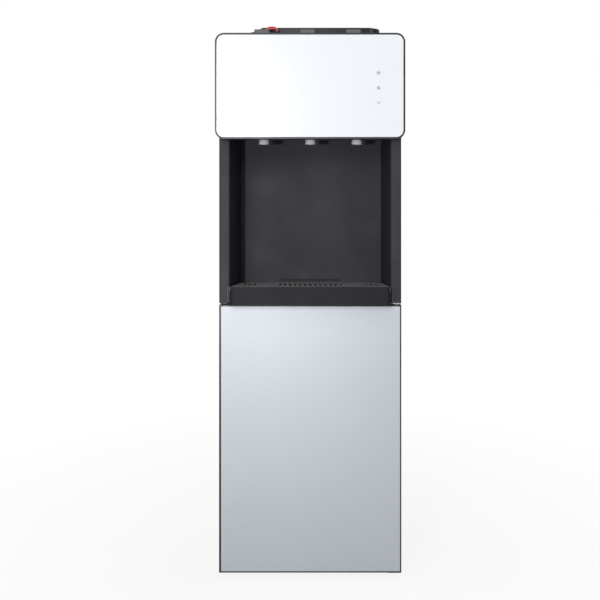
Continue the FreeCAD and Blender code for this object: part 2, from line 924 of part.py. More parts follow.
def make_indicators():
    windows = []
    for index, z in enumerate(indicator_levels()):
        start = (s.indicator_x, head_front, z)
        windows.append(rod(f"window{index}", start, s.glass_thickness, s.indicator_radius, "y"))
    group = doc.addObject("Part::Compound", "indicator_windows")
    group.Links = windows
    keep("indicator_windows", group)
    half_height = s.indicator_pitch * 1.5
    near = head_front + s.glass_thickness
    keep("indicator_board", box(
        "indicator_board",
        (s.indicator_x - s.board_width / 2, s.indicator_x + s.board_width / 2),
        (near, near + s.board_thickness),
        (indicator_middle - half_height, indicator_middle + half_height),
    ))


def make_top_cover():
    """Lid that sits on the side panels, behind the head frame."""
    cover = new_body("top_cover")
    add(cover, "top", panel_top, deck, rectangle(-side, side, head_back, back))
    soften(cover, s.cover_corner, upright(x=side, y=back), upright(x=-side, y=back))
    inner = side - wall
    take(cover, "top", panel_top, deck - wall, rectangle(-inner, inner, head_back + wall, back - wall))
    rim = [straight("x", y=back, z=deck), straight("y", x=side, z=deck), straight("y", x=-side, z=deck)]
    soften(cover, wall - s.hinge_plate / 2, *rim)


def make_button_console():
    """Low platform with a raised hood behind the buttons and a well for each button."""
    console = new_body("button_console")
    platform_front = head_front + s.platform_setback
    console_back = platform_front + s.console_depth
    floor = deck + s.platform_height
    top = deck + s.hood_height
    platform = rectangle(s.platform_left, s.platform_right, platform_front, console_back)
    add(console, "top", deck, floor, platform)
    hood_front = head_front + s.hood_setback
    bay_back = hood_front + s.bay_depth
    bay_left = s.hood_left + s.hood_wall
    bay_right = s.hood_right - s.hood_wall
    hood = rectangle(s.hood_left, s.hood_right, hood_front, console_back - wall)
    add(console, "top", floor, top, hood)
    soften(console, s.hood_corner, upright(x=s.hood_left, y=console_back - wall, z=(floor + top) / 2),
           upright(x=s.hood_right, y=console_back - wall, z=(floor + top) / 2))
    bay = outline((bay_left, hood_front), (bay_left, bay_back, s.bay_bow_radius),
                  (bay_right, bay_back), (bay_right, hood_front))
    take(console, "top", floor, top, bay)
    soften(console, s.hood_corner, upright(x=bay_left, y=bay_back), upright(x=bay_right, y=bay_back))
    slope_back = hood_front + s.hood_slope_length
    slope = outline((hood_front, top - s.hood_slope), (slope_back, top), (hood_front, top))
    take(console, "side", s.hood_left, s.hood_right, slope)
    soften(console, s.hood_edge, level("z", top))
    skin = s.hood_skin
    hollow = rectangle(bay_left, bay_right, bay_back + skin, console_back - wall - s.hood_corner / 2)
    take(console, "top", deck, top - skin, hollow)
    take(console, "top", deck, floor, *[button_well(x) for x in button_places.values()])
    for name in ("room", "cold"):
        right = button_places[name] + s.button_width / 2 + s.well_extension
        block = rectangle(right - s.guide_block_width, right + wall, tap_y, tap_y + s.button_rear_reach)
        add(console, "top", deck, deck + s.guide_block_height, block)


# ---------------------------------------------------------------- buttons and taps

def make_button(name, x):
    """Push button with a sloping top and a rod down to the tap, and its return spring."""
    button = new_body(name + "_button", x, tap_y, deck)
    half = s.button_width / 2
    near = -s.button_front_reach
    far = s.button_rear_reach
    section = outline((near, -s.button_sink), (far, -s.button_sink), (far, s.button_rear_rise),
                      (near, s.button_front_rise))
    add(button, "side", -half, half, section)
    corners = [upright(x=half * sign, y=end) for sign in (-1, 1) for end in (near, far)]
    soften(button, s.button_corner, *corners)
    soften(button, s.button_edge, above("z", s.button_front_rise))
    rod_x = tap_places[name]
    low = tap_top - s.tap_bore_depth + s.button_travel + s.rod_end_gap
    add(button, "top", low - deck, -s.button_sink, circle(rod_x - x, 0, s.rod_radius))
    seat = guide_level + s.guide_thickness
    rise = deck - s.button_sink - seat - 4 * s.spring_wire
    line = spiral(number(s.spring_radius), number(rise) / SPRING_TURNS, SPRING_TURNS, 12)
    spring = tube_along(line, s.spring_wire, 6)
    drawn(name + "_button_spring", spring, rod_x, tap_y, seat + 2 * s.spring_wire)


def make_child_lock():
    """Red slide that bridges from the hot button to the leg at its right."""
    lock = new_body("child_lock", button_places["hot"] + s.button_width / 2, tap_y, deck)
    low = s.button_rear_rise + s.moving_clearance
    right = s.lock_reach
    left = right - s.lock_width
    top = low + s.lock_height
    leg = s.lock_leg
    right_corner = low + s.lock_height / 3
    left_corner = low + s.lock_height / 2
    crown = s.lock_width / 3
    arch = outline(
        (left, low), (right - leg, low), (right - leg, low - leg), (right, low - leg),
        (right, right_corner), (right - crown, top), (left + crown, top), (left, left_corner),
    )
    near = s.button_rear_reach - s.lock_depth - s.button_edge
    add(lock, "front", near, near + s.lock_depth, arch)
    shoulders = [straight("y", x=right - crown, z=top), straight("y", x=left + crown, z=top),
                 straight("y", x=right, z=right_corner), straight("y", x=left, z=left_corner)]
    soften(lock, s.button_edge, *shoulders)


def make_tap(name, x):
    """Valve body on the recess ceiling and the spout below it."""
    tap = new_body(name + "_tap_body", x, tap_y, tap_base)
    hole = s.rod_radius + s.moving_clearance
    floor = s.tap_height - s.tap_bore_depth
    turn(tap, (0, 0), (s.tap_flange, 0), (s.tap_flange, wall), (s.tap_radius, wall),
         (s.tap_radius, s.tap_height), (hole, s.tap_height), (hole, floor), (0, floor))
    add(tap, "front", s.tap_radius - wall, feed_start - tap_y, circle(0, s.feed_rise, s.feed_radius))
    spout = new_body(name + "_spout", x, tap_y, tap_base - wall - s.spout_drop)
    top = s.spout_drop + wall
    turn(spout, (s.spout_bore, 0), (s.spout_mouth_radius, 0), (s.spout_neck_radius, s.spout_skirt),
         (s.spout_stem_radius, s.spout_skirt + wall), (s.spout_stem_radius, top), (s.spout_bore, top))


def make_feed_tubes():
    """Straight tubes from the tanks to the taps."""
    ends = {
        "hot": s.hot_y - hot_jacket_radius,
        "room": cold_y - s.cold_jacket_size / 2,
        "cold": cold_y - s.cold_jacket_size / 2,
    }
    tubes = []
    for name, x in tap_places.items():
        start = (x, feed_start, tap_base + s.feed_rise)
        length = ends[name] - feed_start
        outer = rod(name + "Tube", start, length, s.feed_radius, "y")
        bore = rod(name + "Bore", start, length, s.feed_bore, "y")
        tubes.append(cut(name + "Feed", outer, bore))
    group = doc.addObject("Part::Compound", "tap_feed_tubes")
    group.Links = tubes
    keep("tap_feed_tubes", group)


# ---------------------------------------------------------------- tanks

def make_cold_tank():
    jacket = new_body("cold_tank_jacket", cold_x, cold_y, tank_floor)
    half = s.cold_jacket_size / 2
    add(jacket, "top", 0, s.cold_jacket_height, rectangle(-half, half, -half, half))
    corners = [upright(x=half * i, y=half * j) for i in (-1, 1) for j in (-1, 1)]
    soften(jacket, s.cold_jacket_corner, *corners)
    ceiling = s.cold_jacket_height - s.tank_lid
    take(jacket, "top", s.cold_jacket_floor, ceiling, circle(0, 0, cold_cavity_radius))
    tank = new_body("cold_tank", cold_x, cold_y, tank_floor + s.cold_jacket_floor)
    radius = cold_tank_radius
    height = s.cold_tank_height
    turn(tank, (0, 0), (radius - s.cold_jacket_corner, 0), (radius, s.cold_jacket_corner),
         (radius, height - s.cold_jacket_corner), (radius - s.cold_jacket_corner, height), (0, height))
    shoulder = s.cold_jacket_corner
    take(tank, "top", shoulder, height - shoulder, circle(0, 0, radius - s.tank_sheet))
    take(tank, "top", s.tank_sheet, height - s.tank_sheet, circle(0, 0, radius - shoulder))
    mean = number(cold_tank_radius + s.coil_tube_radius) / math.cos(math.pi / COIL_STEPS)
    winding = tube_along(spiral(mean, number(s.coil_pitch), COIL_TURNS, COIL_STEPS), s.coil_tube_radius)
    bottom = tank_floor + s.cold_jacket_floor + s.cold_jacket_corner * 2
    drawn("evaporator_coil", winding, cold_x, cold_y, bottom)


def make_hot_tank():
    x = hot_x
    jacket = new_body("hot_tank_jacket", x, s.hot_y, tank_floor)
    outer = hot_jacket_radius
    inner = outer - s.hot_jacket_wall
    floor = s.hot_jacket_floor
    turn(jacket, (0, 0), (outer, 0), (outer, s.hot_jacket_height), (inner, s.hot_jacket_height),
         (inner, floor), (0, floor))
    tank = new_body("hot_tank", x, s.hot_y, tank_floor + floor)
    radius = hot_tank_radius
    height = s.hot_tank_height
    shoulder = s.cold_jacket_corner
    turn(tank, (0, 0), (radius, 0), (radius, height - shoulder), (radius - shoulder, height), (0, height))
    take(tank, "top", s.tank_sheet, height - shoulder, circle(0, 0, radius - s.tank_sheet))
    band_level = tank_floor + floor + s.heater_height / 2
    ring = rod("heaterOuter", (x, s.hot_y, band_level), s.heater_height, radius + s.heater_thickness)
    bore = rod("heaterBore", (x, s.hot_y, band_level), s.heater_height, radius)
    keep("heater_band", cut("heater_band", ring, bore))


def make_drain():
    """Drain pipe from the hot tank to the rear, with its screw cap."""
    x = hot_x
    end = back + s.drain_reach
    points = [(x, s.hot_y, tank_floor), (x, s.hot_y, drain_level), (service_x, s.hot_y, drain_level),
              (service_x, end, drain_level)]
    drawn("drain_pipe", tube_along(route(points, PIPE_BEND), s.drain_radius, 12))
    cap = new_body("drain_cap", service_x, back, drain_level)
    start = s.drain_reach / 2
    add(cap, "front", start, start + s.cap_length, circle(0, 0, s.cap_radius))
    take(cap, "front", start, s.drain_reach + s.moving_clearance,
         circle(0, 0, s.drain_radius + s.running_clearance))
    groove = take(cap, "front", start + wall, start + s.cap_length, circle(0, s.cap_radius, s.cap_grip))
    ring = cap.newObject("PartDesign::PolarPattern", "Grip")
    ring.Originals = [groove]
    ring.Axis = (groove.Profile[0], ["N_Axis"])
    ring.Angle = 360
    ring.Occurrences = GRIP_COUNT
    cap.Tip = ring
    doc.recompute()


# ---------------------------------------------------------------- machine bay

def make_compressor():
    base = machine_floor + s.grommet_height
    compressor = new_body("compressor", compressor_x, s.compressor_y, base)
    half_x = s.compressor_plate_length / 2
    half_y = s.compressor_plate_width / 2
    plate = s.compressor_plate
    add(compressor, "top", 0, plate, rectangle(-half_x, half_x, -half_y, half_y))
    corners = [upright(x=half_x * i, y=half_y * j) for i in (-1, 1) for j in (-1, 1)]
    soften(compressor, s.cold_jacket_corner, *corners)
    radius = s.compressor_radius
    seam = plate + s.compressor_seam
    top = plate + s.compressor_height
    lip = wall
    turn(compressor, (0, plate), (radius - s.compressor_base_inset, plate),
         (radius - lip, plate + s.compressor_base_rise), (radius - lip, seam), (radius, seam),
         (radius, seam + lip), (radius - lip, seam + lip), (radius - lip, top - s.compressor_dome),
         (radius - s.compressor_shoulder, top - s.compressor_shoulder_drop),
         (radius - s.compressor_crown, top), (0, top))
    relay_top = seam - s.relay_drop
    relay = rectangle(-s.relay_width / 2, s.relay_width / 2, relay_top - s.relay_height, relay_top)
    add(compressor, "side", radius - s.compressor_base_inset, radius + s.relay_reach, relay)
    stubs = [circle(sign * s.stub_spread, 0, s.line_radius + gauge) for sign in (-1, 1)]
    add(compressor, "top", top - s.stub_root, top + s.stub_height, *stubs)
    grommets = []
    for index, (i, j) in enumerate(((-1, -1), (1, -1), (-1, 1), (1, 1))):
        x = compressor_x + i * (half_x - s.grommet_radius - lip)
        y = s.compressor_y + j * (half_y - s.grommet_radius - lip)
        grommets.append(rod(f"grommet{index}", (x, y, machine_floor), s.grommet_height, s.grommet_radius))
    group = doc.addObject("Part::Compound", "compressor_grommets")
    group.Links = grommets
    keep("compressor_grommets", group)


def make_refrigerant_circuit():
    """Filter drier and the copper lines between compressor, condenser and evaporator."""
    drier = new_body("filter_drier", condenser_left, line_y, drier_level)
    neck = s.line_radius + gauge
    radius = s.drier_radius
    length = s.drier_length
    cone = s.drier_neck + s.drier_cone
    turn(drier, (0, 0), (neck, 0), (neck, s.drier_neck), (radius, cone), (radius, length - cone),
         (neck, length - s.drier_neck), (neck, length), (0, length))
    top = machine_floor + s.grommet_height + s.compressor_plate + s.compressor_height + s.stub_height
    discharge = compressor_x - s.stub_spread
    suction = compressor_x + s.stub_spread
    far = cold_y + s.cold_jacket_size / 2
    high = condenser_bottom + s.condenser_pitch * (s.condenser_passes - 1)
    panel = back - gauge
    left = condenser_left
    capillary_level = drain_level + LINE_STEP
    jacket_level = tank_floor + s.cold_jacket_height / 3
    runs = [
        ([(discharge, s.compressor_y, top), (discharge, s.compressor_y, top + 4 * LINE_STEP),
          (discharge, line_y, top + 4 * LINE_STEP), (discharge, line_y, high), (left, line_y, high),
          (left, panel, high)], s.line_radius),
        ([(left, panel, condenser_bottom), (left, line_y, condenser_bottom), (left, line_y, drier_level)],
         s.line_radius),
        ([(left, line_y, drier_level + length), (left, line_y, capillary_level),
          (s.capillary_x, line_y, capillary_level), (s.capillary_x, line_y, jacket_level),
          (s.capillary_x, far, jacket_level)], s.line_radius / 2),
        ([(suction, s.compressor_y, top), (suction, s.compressor_y, top + 3 * LINE_STEP),
          (suction, line_y, top + 3 * LINE_STEP), (suction, line_y, jacket_level),
          (suction, far, jacket_level)], s.line_radius),
    ]
    tubes = [tube_along(route(points, LINE_BEND), radius) for points, radius in runs]
    drawn("refrigerant_lines", Part.makeCompound(tubes))


def make_condenser():
    """Serpentine tube with wires on both sides, held off the rear panel by four brackets."""
    plane = back + s.condenser_reach - 2 * s.condenser_wire - s.condenser_tube
    bend = s.condenser_pitch / 2
    left = condenser_left
    right = condenser_right
    levels = [condenser_bottom + s.condenser_pitch * step for step in range(int(number(s.condenser_passes)))]
    points = [(left, back - gauge, levels[0]), (left, plane, levels[0])]
    for step, z in enumerate(levels):
        turns_right = step % 2 == 0
        edge = right + bend if turns_right else left - bend
        if step > 0:
            points.append((left - bend if turns_right else right + bend, plane, z))
        if step < len(levels) - 1:
            points.append((edge, plane, z))
    points.append((left, plane, levels[-1]))
    points.append((left, back - gauge, levels[-1]))
    drawn("condenser_tube", tube_along(route(points, number(bend)), s.condenser_tube))
    wires = []
    span = number(right - left) - 3 * number(s.wire_pitch)
    count = int(span // number(s.wire_pitch)) + 1
    low = number(levels[0]) - number(s.condenser_tube) * 2
    length = number(levels[-1]) + number(s.condenser_tube) * 2 - low
    for offset in (-1, 1):
        y = number(plane) + offset * number(s.condenser_tube + s.condenser_wire)
        for step in range(count):
            x = number(left) + number(s.wire_pitch) * (step + 2)
            ends = [FreeCAD.Vector(x, y, low), FreeCAD.Vector(x, y, low + length)]
            wires.append(tube_along(ends, s.condenser_wire, 6))
    drawn("condenser_wires", Part.makeCompound(wires))
    last = len(levels) - 1
    places = [(right + bend, 0), (right + bend, last - 1), (left - bend, 1), (left - bend, last - 2)]
    half = s.bracket_size / 2
    brackets = []
    for index, (x, step) in enumerate(places):
        z = levels[step] + bend
        brackets.append(box(f"bracket{index}", (x - half, x + half), (back, plane - s.condenser_tube),
                            (z - half, z + half)))
    group = doc.addObject("Part::Compound", "condenser_brackets")
    group.Links = brackets
    keep("condenser_brackets", group)


def make_pump():
    """Pump on the machine shelf, with its inlet at the left and its outlet on top."""
    low = machine_floor
    head_left = s.pump_x - s.pump_head * 1.1
    head_right = head_left + s.pump_head
    half = s.pump_head * 0.7
    outlet_x = head_left + s.pump_head / 2
    top = low + s.pump_height
    head = box("pumpHead", (head_left, head_right), (s.pump_y - half, s.pump_y + half), (low, top))
    motor = rod("pumpMotor", (head_right, s.pump_y, low + s.pump_motor_radius + 1), s.pump_motor_length,
                s.pump_motor_radius, "x")
    inlet = rod("pumpInlet", (head_left - PORT, s.pump_y, pump_inlet), PORT, s.hose_radius, "x")
    outlet = rod("pumpOutlet", (outlet_x, s.pump_y, top), PORT, s.hose_radius)
    keep("pump", fuse("pump", head, motor, inlet, outlet))
    nipple = probe_level + s.probe_height + NIPPLE
    points = [(probe_x, s.probe_y, nipple), (probe_x, s.probe_y, pump_inlet),
              (head_left - PORT, s.pump_y, pump_inlet)]
    drawn("probe_hose", tube_along(route(points, 2 * PIPE_BEND), s.hose_radius, 12))
    over = drain_level - s.hose_radius
    points = [(outlet_x, s.pump_y, top + PORT), (outlet_x, s.pump_y, over),
              (s.delivery_x, s.pump_y, over), (s.delivery_x, s.pump_y, tank_floor)]
    drawn("delivery_hose", tube_along(route(points, PIPE_BEND), s.hose_radius, 12))


# ---------------------------------------------------------------- bottle probe

def make_bottle_probe():
    """Cap that snaps over a bottle's neck, with its dip tube, and the holder that stores it."""
    cap = new_body("bottle_probe", probe_x, s.probe_y, probe_level)
    radius = s.probe_radius
    inner = radius - s.probe_wall
    ceiling = s.probe_height - s.probe_wall
    nipple = s.hose_radius
    turn(cap, (0, ceiling), (inner, ceiling), (inner, 0), (radius, 0), (radius, s.probe_height),
         (nipple, s.probe_height), (nipple, s.probe_height + NIPPLE), (0, s.probe_height + NIPPLE))
    add(cap, "top", s.dip_tube_bottom - probe_level, ceiling,
        circle(0, 0, s.dip_tube_radius), circle(0, 0, s.dip_tube_radius - s.probe_wall))
    holder = new_body("probe_holder")
    left = probe_x - s.holder_width / 2
    right = probe_x + s.holder_width / 2
    low = probe_level - s.holder_thickness
    panel = back - gauge
    near = s.probe_y - s.probe_radius - s.holder_thickness
    add(holder, "top", low, probe_level, rectangle(left, right, near, panel))
    add(holder, "top", probe_level, probe_level + s.probe_height,
        rectangle(left, right, panel - s.holder_thickness, panel))
    gap = s.dip_tube_radius + s.moving_clearance
    slot = outline((probe_x - gap, near), (probe_x + gap, near), (probe_x + gap, s.probe_y),
                   (probe_x, s.probe_y + gap), (probe_x - gap, s.probe_y))
    take(holder, "top", low, probe_level, slot)
    round_hole = circle(probe_x, s.probe_y, gap)
    take(holder, "top", low, probe_level, round_hole)


# ---------------------------------------------------------------- door

def door_outline(inset_left, inset_right, inset_low, inset_high):
    low = s.door_floor_gap + inset_low
    return rectangle(-side + inset_left, side - inset_right, low, door_top - inset_high)


def make_door():
    frame = new_body("door_frame")
    add(frame, "front", front, door_back, door_outline(0, 0, 0, 0))
    soften(frame, s.door_edge_round, upright(x=side, y=door_back), upright(x=-side, y=door_back))
    borders = (s.door_left_border, s.door_right_border, s.door_right_border, s.door_top_border)
    take(frame, "front", front, front + s.door_glass, door_outline(*borders))
    rail = s.door_rail
    take(frame, "front", front + s.door_glass, door_back, door_outline(rail, rail, rail, rail))
    seat = s.liner_seat
    liner_front = door_back - s.liner_thickness
    take(frame, "front", liner_front, door_back, door_outline(seat, seat, seat, seat))
    hole = circle(side - s.hinge_inset, front + s.door_depth / 2, s.hinge_pin_radius + s.running_clearance)
    depth = s.hinge_pin_length + wall / 3
    take(frame, "top", s.door_floor_gap, s.door_floor_gap + depth, hole)
    take(frame, "top", door_top - depth, door_top, hole)

    glass = new_body("door_panel")
    tight = [border + s.glass_gap for border in borders]
    add(glass, "front", front, front + s.door_glass, door_outline(*tight))

    liner = new_body("door_liner")
    edge = seat + s.glass_gap
    add(liner, "front", liner_front, door_back, door_outline(edge, edge, edge, edge))
    inset = s.liner_panel_inset
    add(liner, "front", door_back, door_back + s.liner_thickness, door_outline(inset, inset, inset, inset))
    soften(liner, s.cold_jacket_corner, *[
        straight("y", x=sign * (side - inset), z=z, y=door_back + s.liner_thickness / 2)
        for sign in (-1, 1) for z in (s.door_floor_gap + inset, door_top - inset)])

    middle = s.door_floor_gap + s.door_height / 2
    magnet_x = -side + s.liner_seat + s.glass_gap
    keep("door_magnet", box(
        "door_magnet", (magnet_x, magnet_x + s.magnet_width), (door_back, panel_front - s.moving_clearance),
        (middle - s.magnet_length / 2, middle + s.magnet_length / 2)))


def make_hinges():
    """Plates under and over the door, each with its pin in the door's frame."""
    pin_x = side - s.hinge_inset
    pin_y = front + s.door_depth / 2
    near = pin_y - s.hinge_pin_radius * 2
    width = (side - s.hinge_plate_width, side)
    low = box("lowerPlate", width, (near, inner_front + s.hinge_plate_width / 2),
              (s.foot_height - s.hinge_plate, s.foot_height))
    low_pin = rod("lowerPin", (pin_x, pin_y, s.foot_height - s.hinge_plate),
                  s.door_floor_gap - s.foot_height + s.hinge_plate + s.hinge_pin_length, s.hinge_pin_radius)
    keep("lower_hinge", fuse("lower_hinge", low, low_pin))
    top = fascia_bottom
    high = box("upperPlate", width, (near, front + s.pillar_depth), (top - s.hinge_plate, top))
    high_pin = rod("upperPin", (pin_x, pin_y, door_top - s.hinge_pin_length),
                   top - door_top + s.hinge_pin_length, s.hinge_pin_radius)
    keep("upper_hinge", fuse("upper_hinge", high, high_pin))


# ---------------------------------------------------------------- rear services

def make_switches():
    """Bezel through the rear panel with two rocker switches."""
    x = service_x
    half_x = s.rocker_width / 2
    half_z = s.switch_pitch / 2 + s.rocker_height / 2
    thin = s.bezel_wall / 2
    lip = s.bezel_wall
    rim = s.hinge_plate
    bezel = new_body("switch_bezel")
    low = back - s.bezel_depth
    add(bezel, "front", low, back, rectangle(x - half_x - thin, x + half_x + thin,
                                             switch_level - half_z - thin, switch_level + half_z + thin))
    add(bezel, "front", back, back + rim, rectangle(x - half_x - lip, x + half_x + lip,
                                                    switch_level - half_z - lip, switch_level + half_z + lip))
    gap = s.moving_clearance
    for name, sign in (("hot", 1), ("cold", -1)):
        z = switch_level + sign * s.switch_pitch / 2
        window = rectangle(x - half_x - gap, x + half_x + gap, z - s.rocker_height / 2 - gap,
                           z + s.rocker_height / 2 + gap)
        take(bezel, "front", low + rim, back + rim, window)
        pivot_y = back - s.rocker_sink
        take(bezel, "side", x - half_x - thin, x + half_x + thin,
             circle(pivot_y, z, s.rocker_pivot + s.running_clearance))
        rocker = new_body(name + "_switch", x, pivot_y, z)
        tip = s.rocker_height / 2 - 2 * gap
        rise = s.rocker_sink + rim
        section = outline((-rise, -tip / 2), (-rise, tip / 2), (rise, tip), (rise / 2, 0), (rise, -tip))
        add(rocker, "side", -half_x, half_x, section)
        add(rocker, "side", -half_x - thin, half_x + thin, circle(0, 0, s.rocker_pivot))
        rocker.Placement.Rotation = FreeCAD.Rotation(FreeCAD.Vector(1, 0, 0), -number(s.rocker_tilt))


def make_mains_inlet():
    """Appliance inlet with three blades, flush in the rear panel."""
    x = service_x
    z = inlet_level
    lip = s.bezel_wall
    half_x = s.inlet_width / 2
    half_z = s.inlet_height / 2
    thin = lip / 2
    rim = s.hinge_plate
    inlet = new_body("mains_inlet")
    low = back - s.inlet_depth
    body_x = half_x - thin
    body_z = half_z - thin
    add(inlet, "front", low, back, rectangle(x - body_x, x + body_x, z - body_z, z + body_z))
    add(inlet, "front", back, back + rim, rectangle(x - half_x, x + half_x, z - half_z, z + half_z))
    socket_x = half_x - 2 * lip
    socket_z = half_z - 2 * lip
    floor = low + 2 * lip
    take(inlet, "front", floor, back + rim, rectangle(x - socket_x, x + socket_x, z - socket_z, z + socket_z))
    blades = []
    blade_places = ((-socket_x / 2, socket_z / 2), (-socket_x / 2, -socket_z / 2), (socket_x / 2, as_size(0)))
    for blade_x, blade_z in blade_places:
        blades.append(rectangle(x + blade_x - thin, x + blade_x + thin, z + blade_z - lip, z + blade_z + lip))
    add(inlet, "front", floor, back - lip, *blades)


# ---------------------------------------------------------------- build

LOUVRE_COLUMNS = 3
LOUVRE_ROWS = 9
SPRING_TURNS = 5
COIL_TURNS = 4
COIL_STEPS = 24
BEND_STEPS = 4
GRIP_COUNT = 10
PIPE_BEND = 10
LINE_BEND = 8
LINE_STEP = 20
PORT = 8
NIPPLE = 6
feed_start = head_back + s.moving_clearance
pump_inlet = machine_floor + s.pump_height / 2

make_base_pan()
make_feet()
make_side_panel("left_side_panel", -1)
make_side_panel("right_side_panel", 1)
make_rear_panel()
make_recess_moulding()
make_shelf("machine_shelf", fascia_bottom, machine_floor, moulding_back,
           [circle(probe_x, s.probe_y, s.hose_radius + s.moving_clearance)])
line_hole = s.line_radius + 2 * s.moving_clearance
hose_hole = s.hose_radius + s.moving_clearance
make_shelf("tank_shelf", tap_base, tank_floor, feed_start, [
    circle(hot_x, s.hot_y, s.drain_radius + s.moving_clearance),
    circle(s.delivery_x, s.pump_y, hose_hole),
    circle(s.capillary_x, line_y, line_hole),
    circle(compressor_x - s.stub_spread, line_y, line_hole),
    circle(compressor_x + s.stub_spread, line_y, line_hole),
])
make_drip_tray()
make_drip_grille()
make_head_frame()
make_head_glass()
make_indicators()
make_top_cover()
make_button_console()
for name in tap_places:
    make_button(name, button_places[name])
    make_tap(name, tap_places[name])
make_child_lock()
make_feed_tubes()
make_cold_tank()
make_hot_tank()
make_drain()
make_compressor()
make_refrigerant_circuit()
make_condenser()
make_pump()
make_bottle_probe()
make_door()
make_hinges()
make_switches()
make_mains_inlet()

doc.recompute()
for item in doc.Objects:
    if "Invalid" in item.State or "Error" in item.State:
        raise RuntimeError(f"{item.Name} failed: {item.State}")
for name, thing in nodes.items():
    if thing.Shape.isNull() or not thing.Shape.isValid() or not thing.Shape.Solids:
        raise RuntimeError(f"{name} has no valid solid")
os.makedirs("parts", exist_ok=True)
for name, thing in nodes.items():
    thing.Shape.exportStep(f"parts/{name}.step")
print(len(nodes), "nodes written")
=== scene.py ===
import math

import bmesh
import bpy
from mathutils import Matrix, Vector


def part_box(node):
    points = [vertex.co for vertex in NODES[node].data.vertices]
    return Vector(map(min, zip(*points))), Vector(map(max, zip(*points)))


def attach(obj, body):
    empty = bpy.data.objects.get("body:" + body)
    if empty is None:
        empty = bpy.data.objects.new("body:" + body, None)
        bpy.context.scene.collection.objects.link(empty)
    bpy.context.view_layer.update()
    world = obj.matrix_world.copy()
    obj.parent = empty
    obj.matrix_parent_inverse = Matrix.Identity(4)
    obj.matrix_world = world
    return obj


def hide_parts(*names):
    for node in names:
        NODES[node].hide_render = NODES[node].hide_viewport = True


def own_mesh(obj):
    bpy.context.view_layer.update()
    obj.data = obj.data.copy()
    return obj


# Bottom load water cooler. Metres, in the frame of the model: X right, Y back, Z up, front at -Y.

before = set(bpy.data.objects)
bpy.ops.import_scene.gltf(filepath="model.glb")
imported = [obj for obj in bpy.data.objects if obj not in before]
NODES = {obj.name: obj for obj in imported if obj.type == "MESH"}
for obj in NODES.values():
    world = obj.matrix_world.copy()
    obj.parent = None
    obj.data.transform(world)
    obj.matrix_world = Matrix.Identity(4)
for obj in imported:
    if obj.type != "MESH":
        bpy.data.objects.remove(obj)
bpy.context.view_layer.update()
MM = 0.001


# ------------------------------------------------------------------ shared effects

class Wiring:
    """Short way to place and join the nodes of one tree."""

    def __init__(self, tree):
        self.tree = tree

    def node(self, kind, **settings):
        made = self.tree.nodes.new(kind)
        inputs = settings.pop("inputs", {})
        for name, value in settings.items():
            setattr(made, name, value)
        for key, value in inputs.items():
            if isinstance(value, bpy.types.NodeSocket):
                self.tree.links.new(value, made.inputs[key])
            else:
                made.inputs[key].default_value = value
        return made

    def maths(self, operation, first, second=0.0, clamp=False):
        made = self.node("ShaderNodeMath", operation=operation, use_clamp=clamp, inputs={0: first, 1: second})
        return made.outputs[0]

    def blend(self, factor, first, second):
        made = self.node("ShaderNodeMix", data_type="RGBA", inputs={0: factor, 6: first, 7: second})
        return made.outputs[2]

    def noise(self, place, scale, detail=2.0, rough=0.5):
        made = self.node("ShaderNodeTexNoise",
                         inputs={"Vector": place, "Scale": scale, "Detail": detail, "Roughness": rough})
        return made.outputs["Fac"]

    def spread(self, value, low, high, out_low=0.0, out_high=1.0):
        made = self.node("ShaderNodeMapRange", inputs={0: value, 1: low, 2: high, 3: out_low, 4: out_high})
        return made.outputs[0]

    def place(self, stretch=(1, 1, 1)):
        spot = self.node("ShaderNodeTexCoord").outputs["Object"]
        if stretch == (1, 1, 1):
            return spot
        return self.node("ShaderNodeMapping", inputs={"Vector": spot, "Scale": stretch}).outputs[0]


def effect(name, inputs, outputs, build):
    """A node group with named inputs and outputs, filled in by build."""
    group = bpy.data.node_groups.new(name, "ShaderNodeTree")
    for label, kind, value in inputs:
        made = group.interface.new_socket(label, in_out="INPUT", socket_type=kind)
        made.default_value = value
    for label, kind in outputs:
        group.interface.new_socket(label, in_out="OUTPUT", socket_type=kind)
    wiring = Wiring(group)
    start = wiring.node("NodeGroupInput")
    end = wiring.node("NodeGroupOutput")
    for label, socket in build(wiring, start.outputs).items():
        group.links.new(socket, end.inputs[label])
    return group


COLOUR, NUMBER = "NodeSocketColor", "NodeSocketFloat"


def build_grain(w, given):
    """Fine moulded grain with faint larger clouds in shade and gloss."""
    place = w.place()
    fine = w.noise(place, given["Grain Scale"], 3.0, 0.6)
    cloud = w.noise(place, given["Cloud Scale"], 4.0, 0.55)
    mask = w.spread(cloud, 0.35, 0.65)
    shade = w.blend(mask, given["Base"], given["Shade"])
    speck = w.spread(fine, 0.3, 0.7, -0.5, 0.5)
    rough = w.maths("ADD", w.spread(mask, 0.0, 1.0, 0.0, 0.07), given["Roughness"])
    rough = w.maths("ADD", rough, w.maths("MULTIPLY", speck, 0.05), clamp=True)
    return {"Color": shade, "Roughness": rough, "Height": fine}


def build_dust(w, given):
    """Thin dust that settles on what faces up."""
    normal = w.node("ShaderNodeNewGeometry").outputs["Normal"]
    upward = w.node("ShaderNodeSeparateXYZ", inputs={0: normal}).outputs[2]
    patch = w.noise(w.place(), 35.0, 5.0, 0.65)
    mask = w.maths("MULTIPLY", w.spread(upward, 0.75, 1.0), w.spread(patch, 0.35, 0.75))
    mask = w.maths("MULTIPLY", mask, given["Amount"], clamp=True)
    colour = w.blend(mask, given["Color"], (0.42, 0.41, 0.39, 1.0))
    rough = w.maths("ADD", given["Roughness"], w.maths("MULTIPLY", mask, 0.4), clamp=True)
    return {"Color": colour, "Roughness": rough}


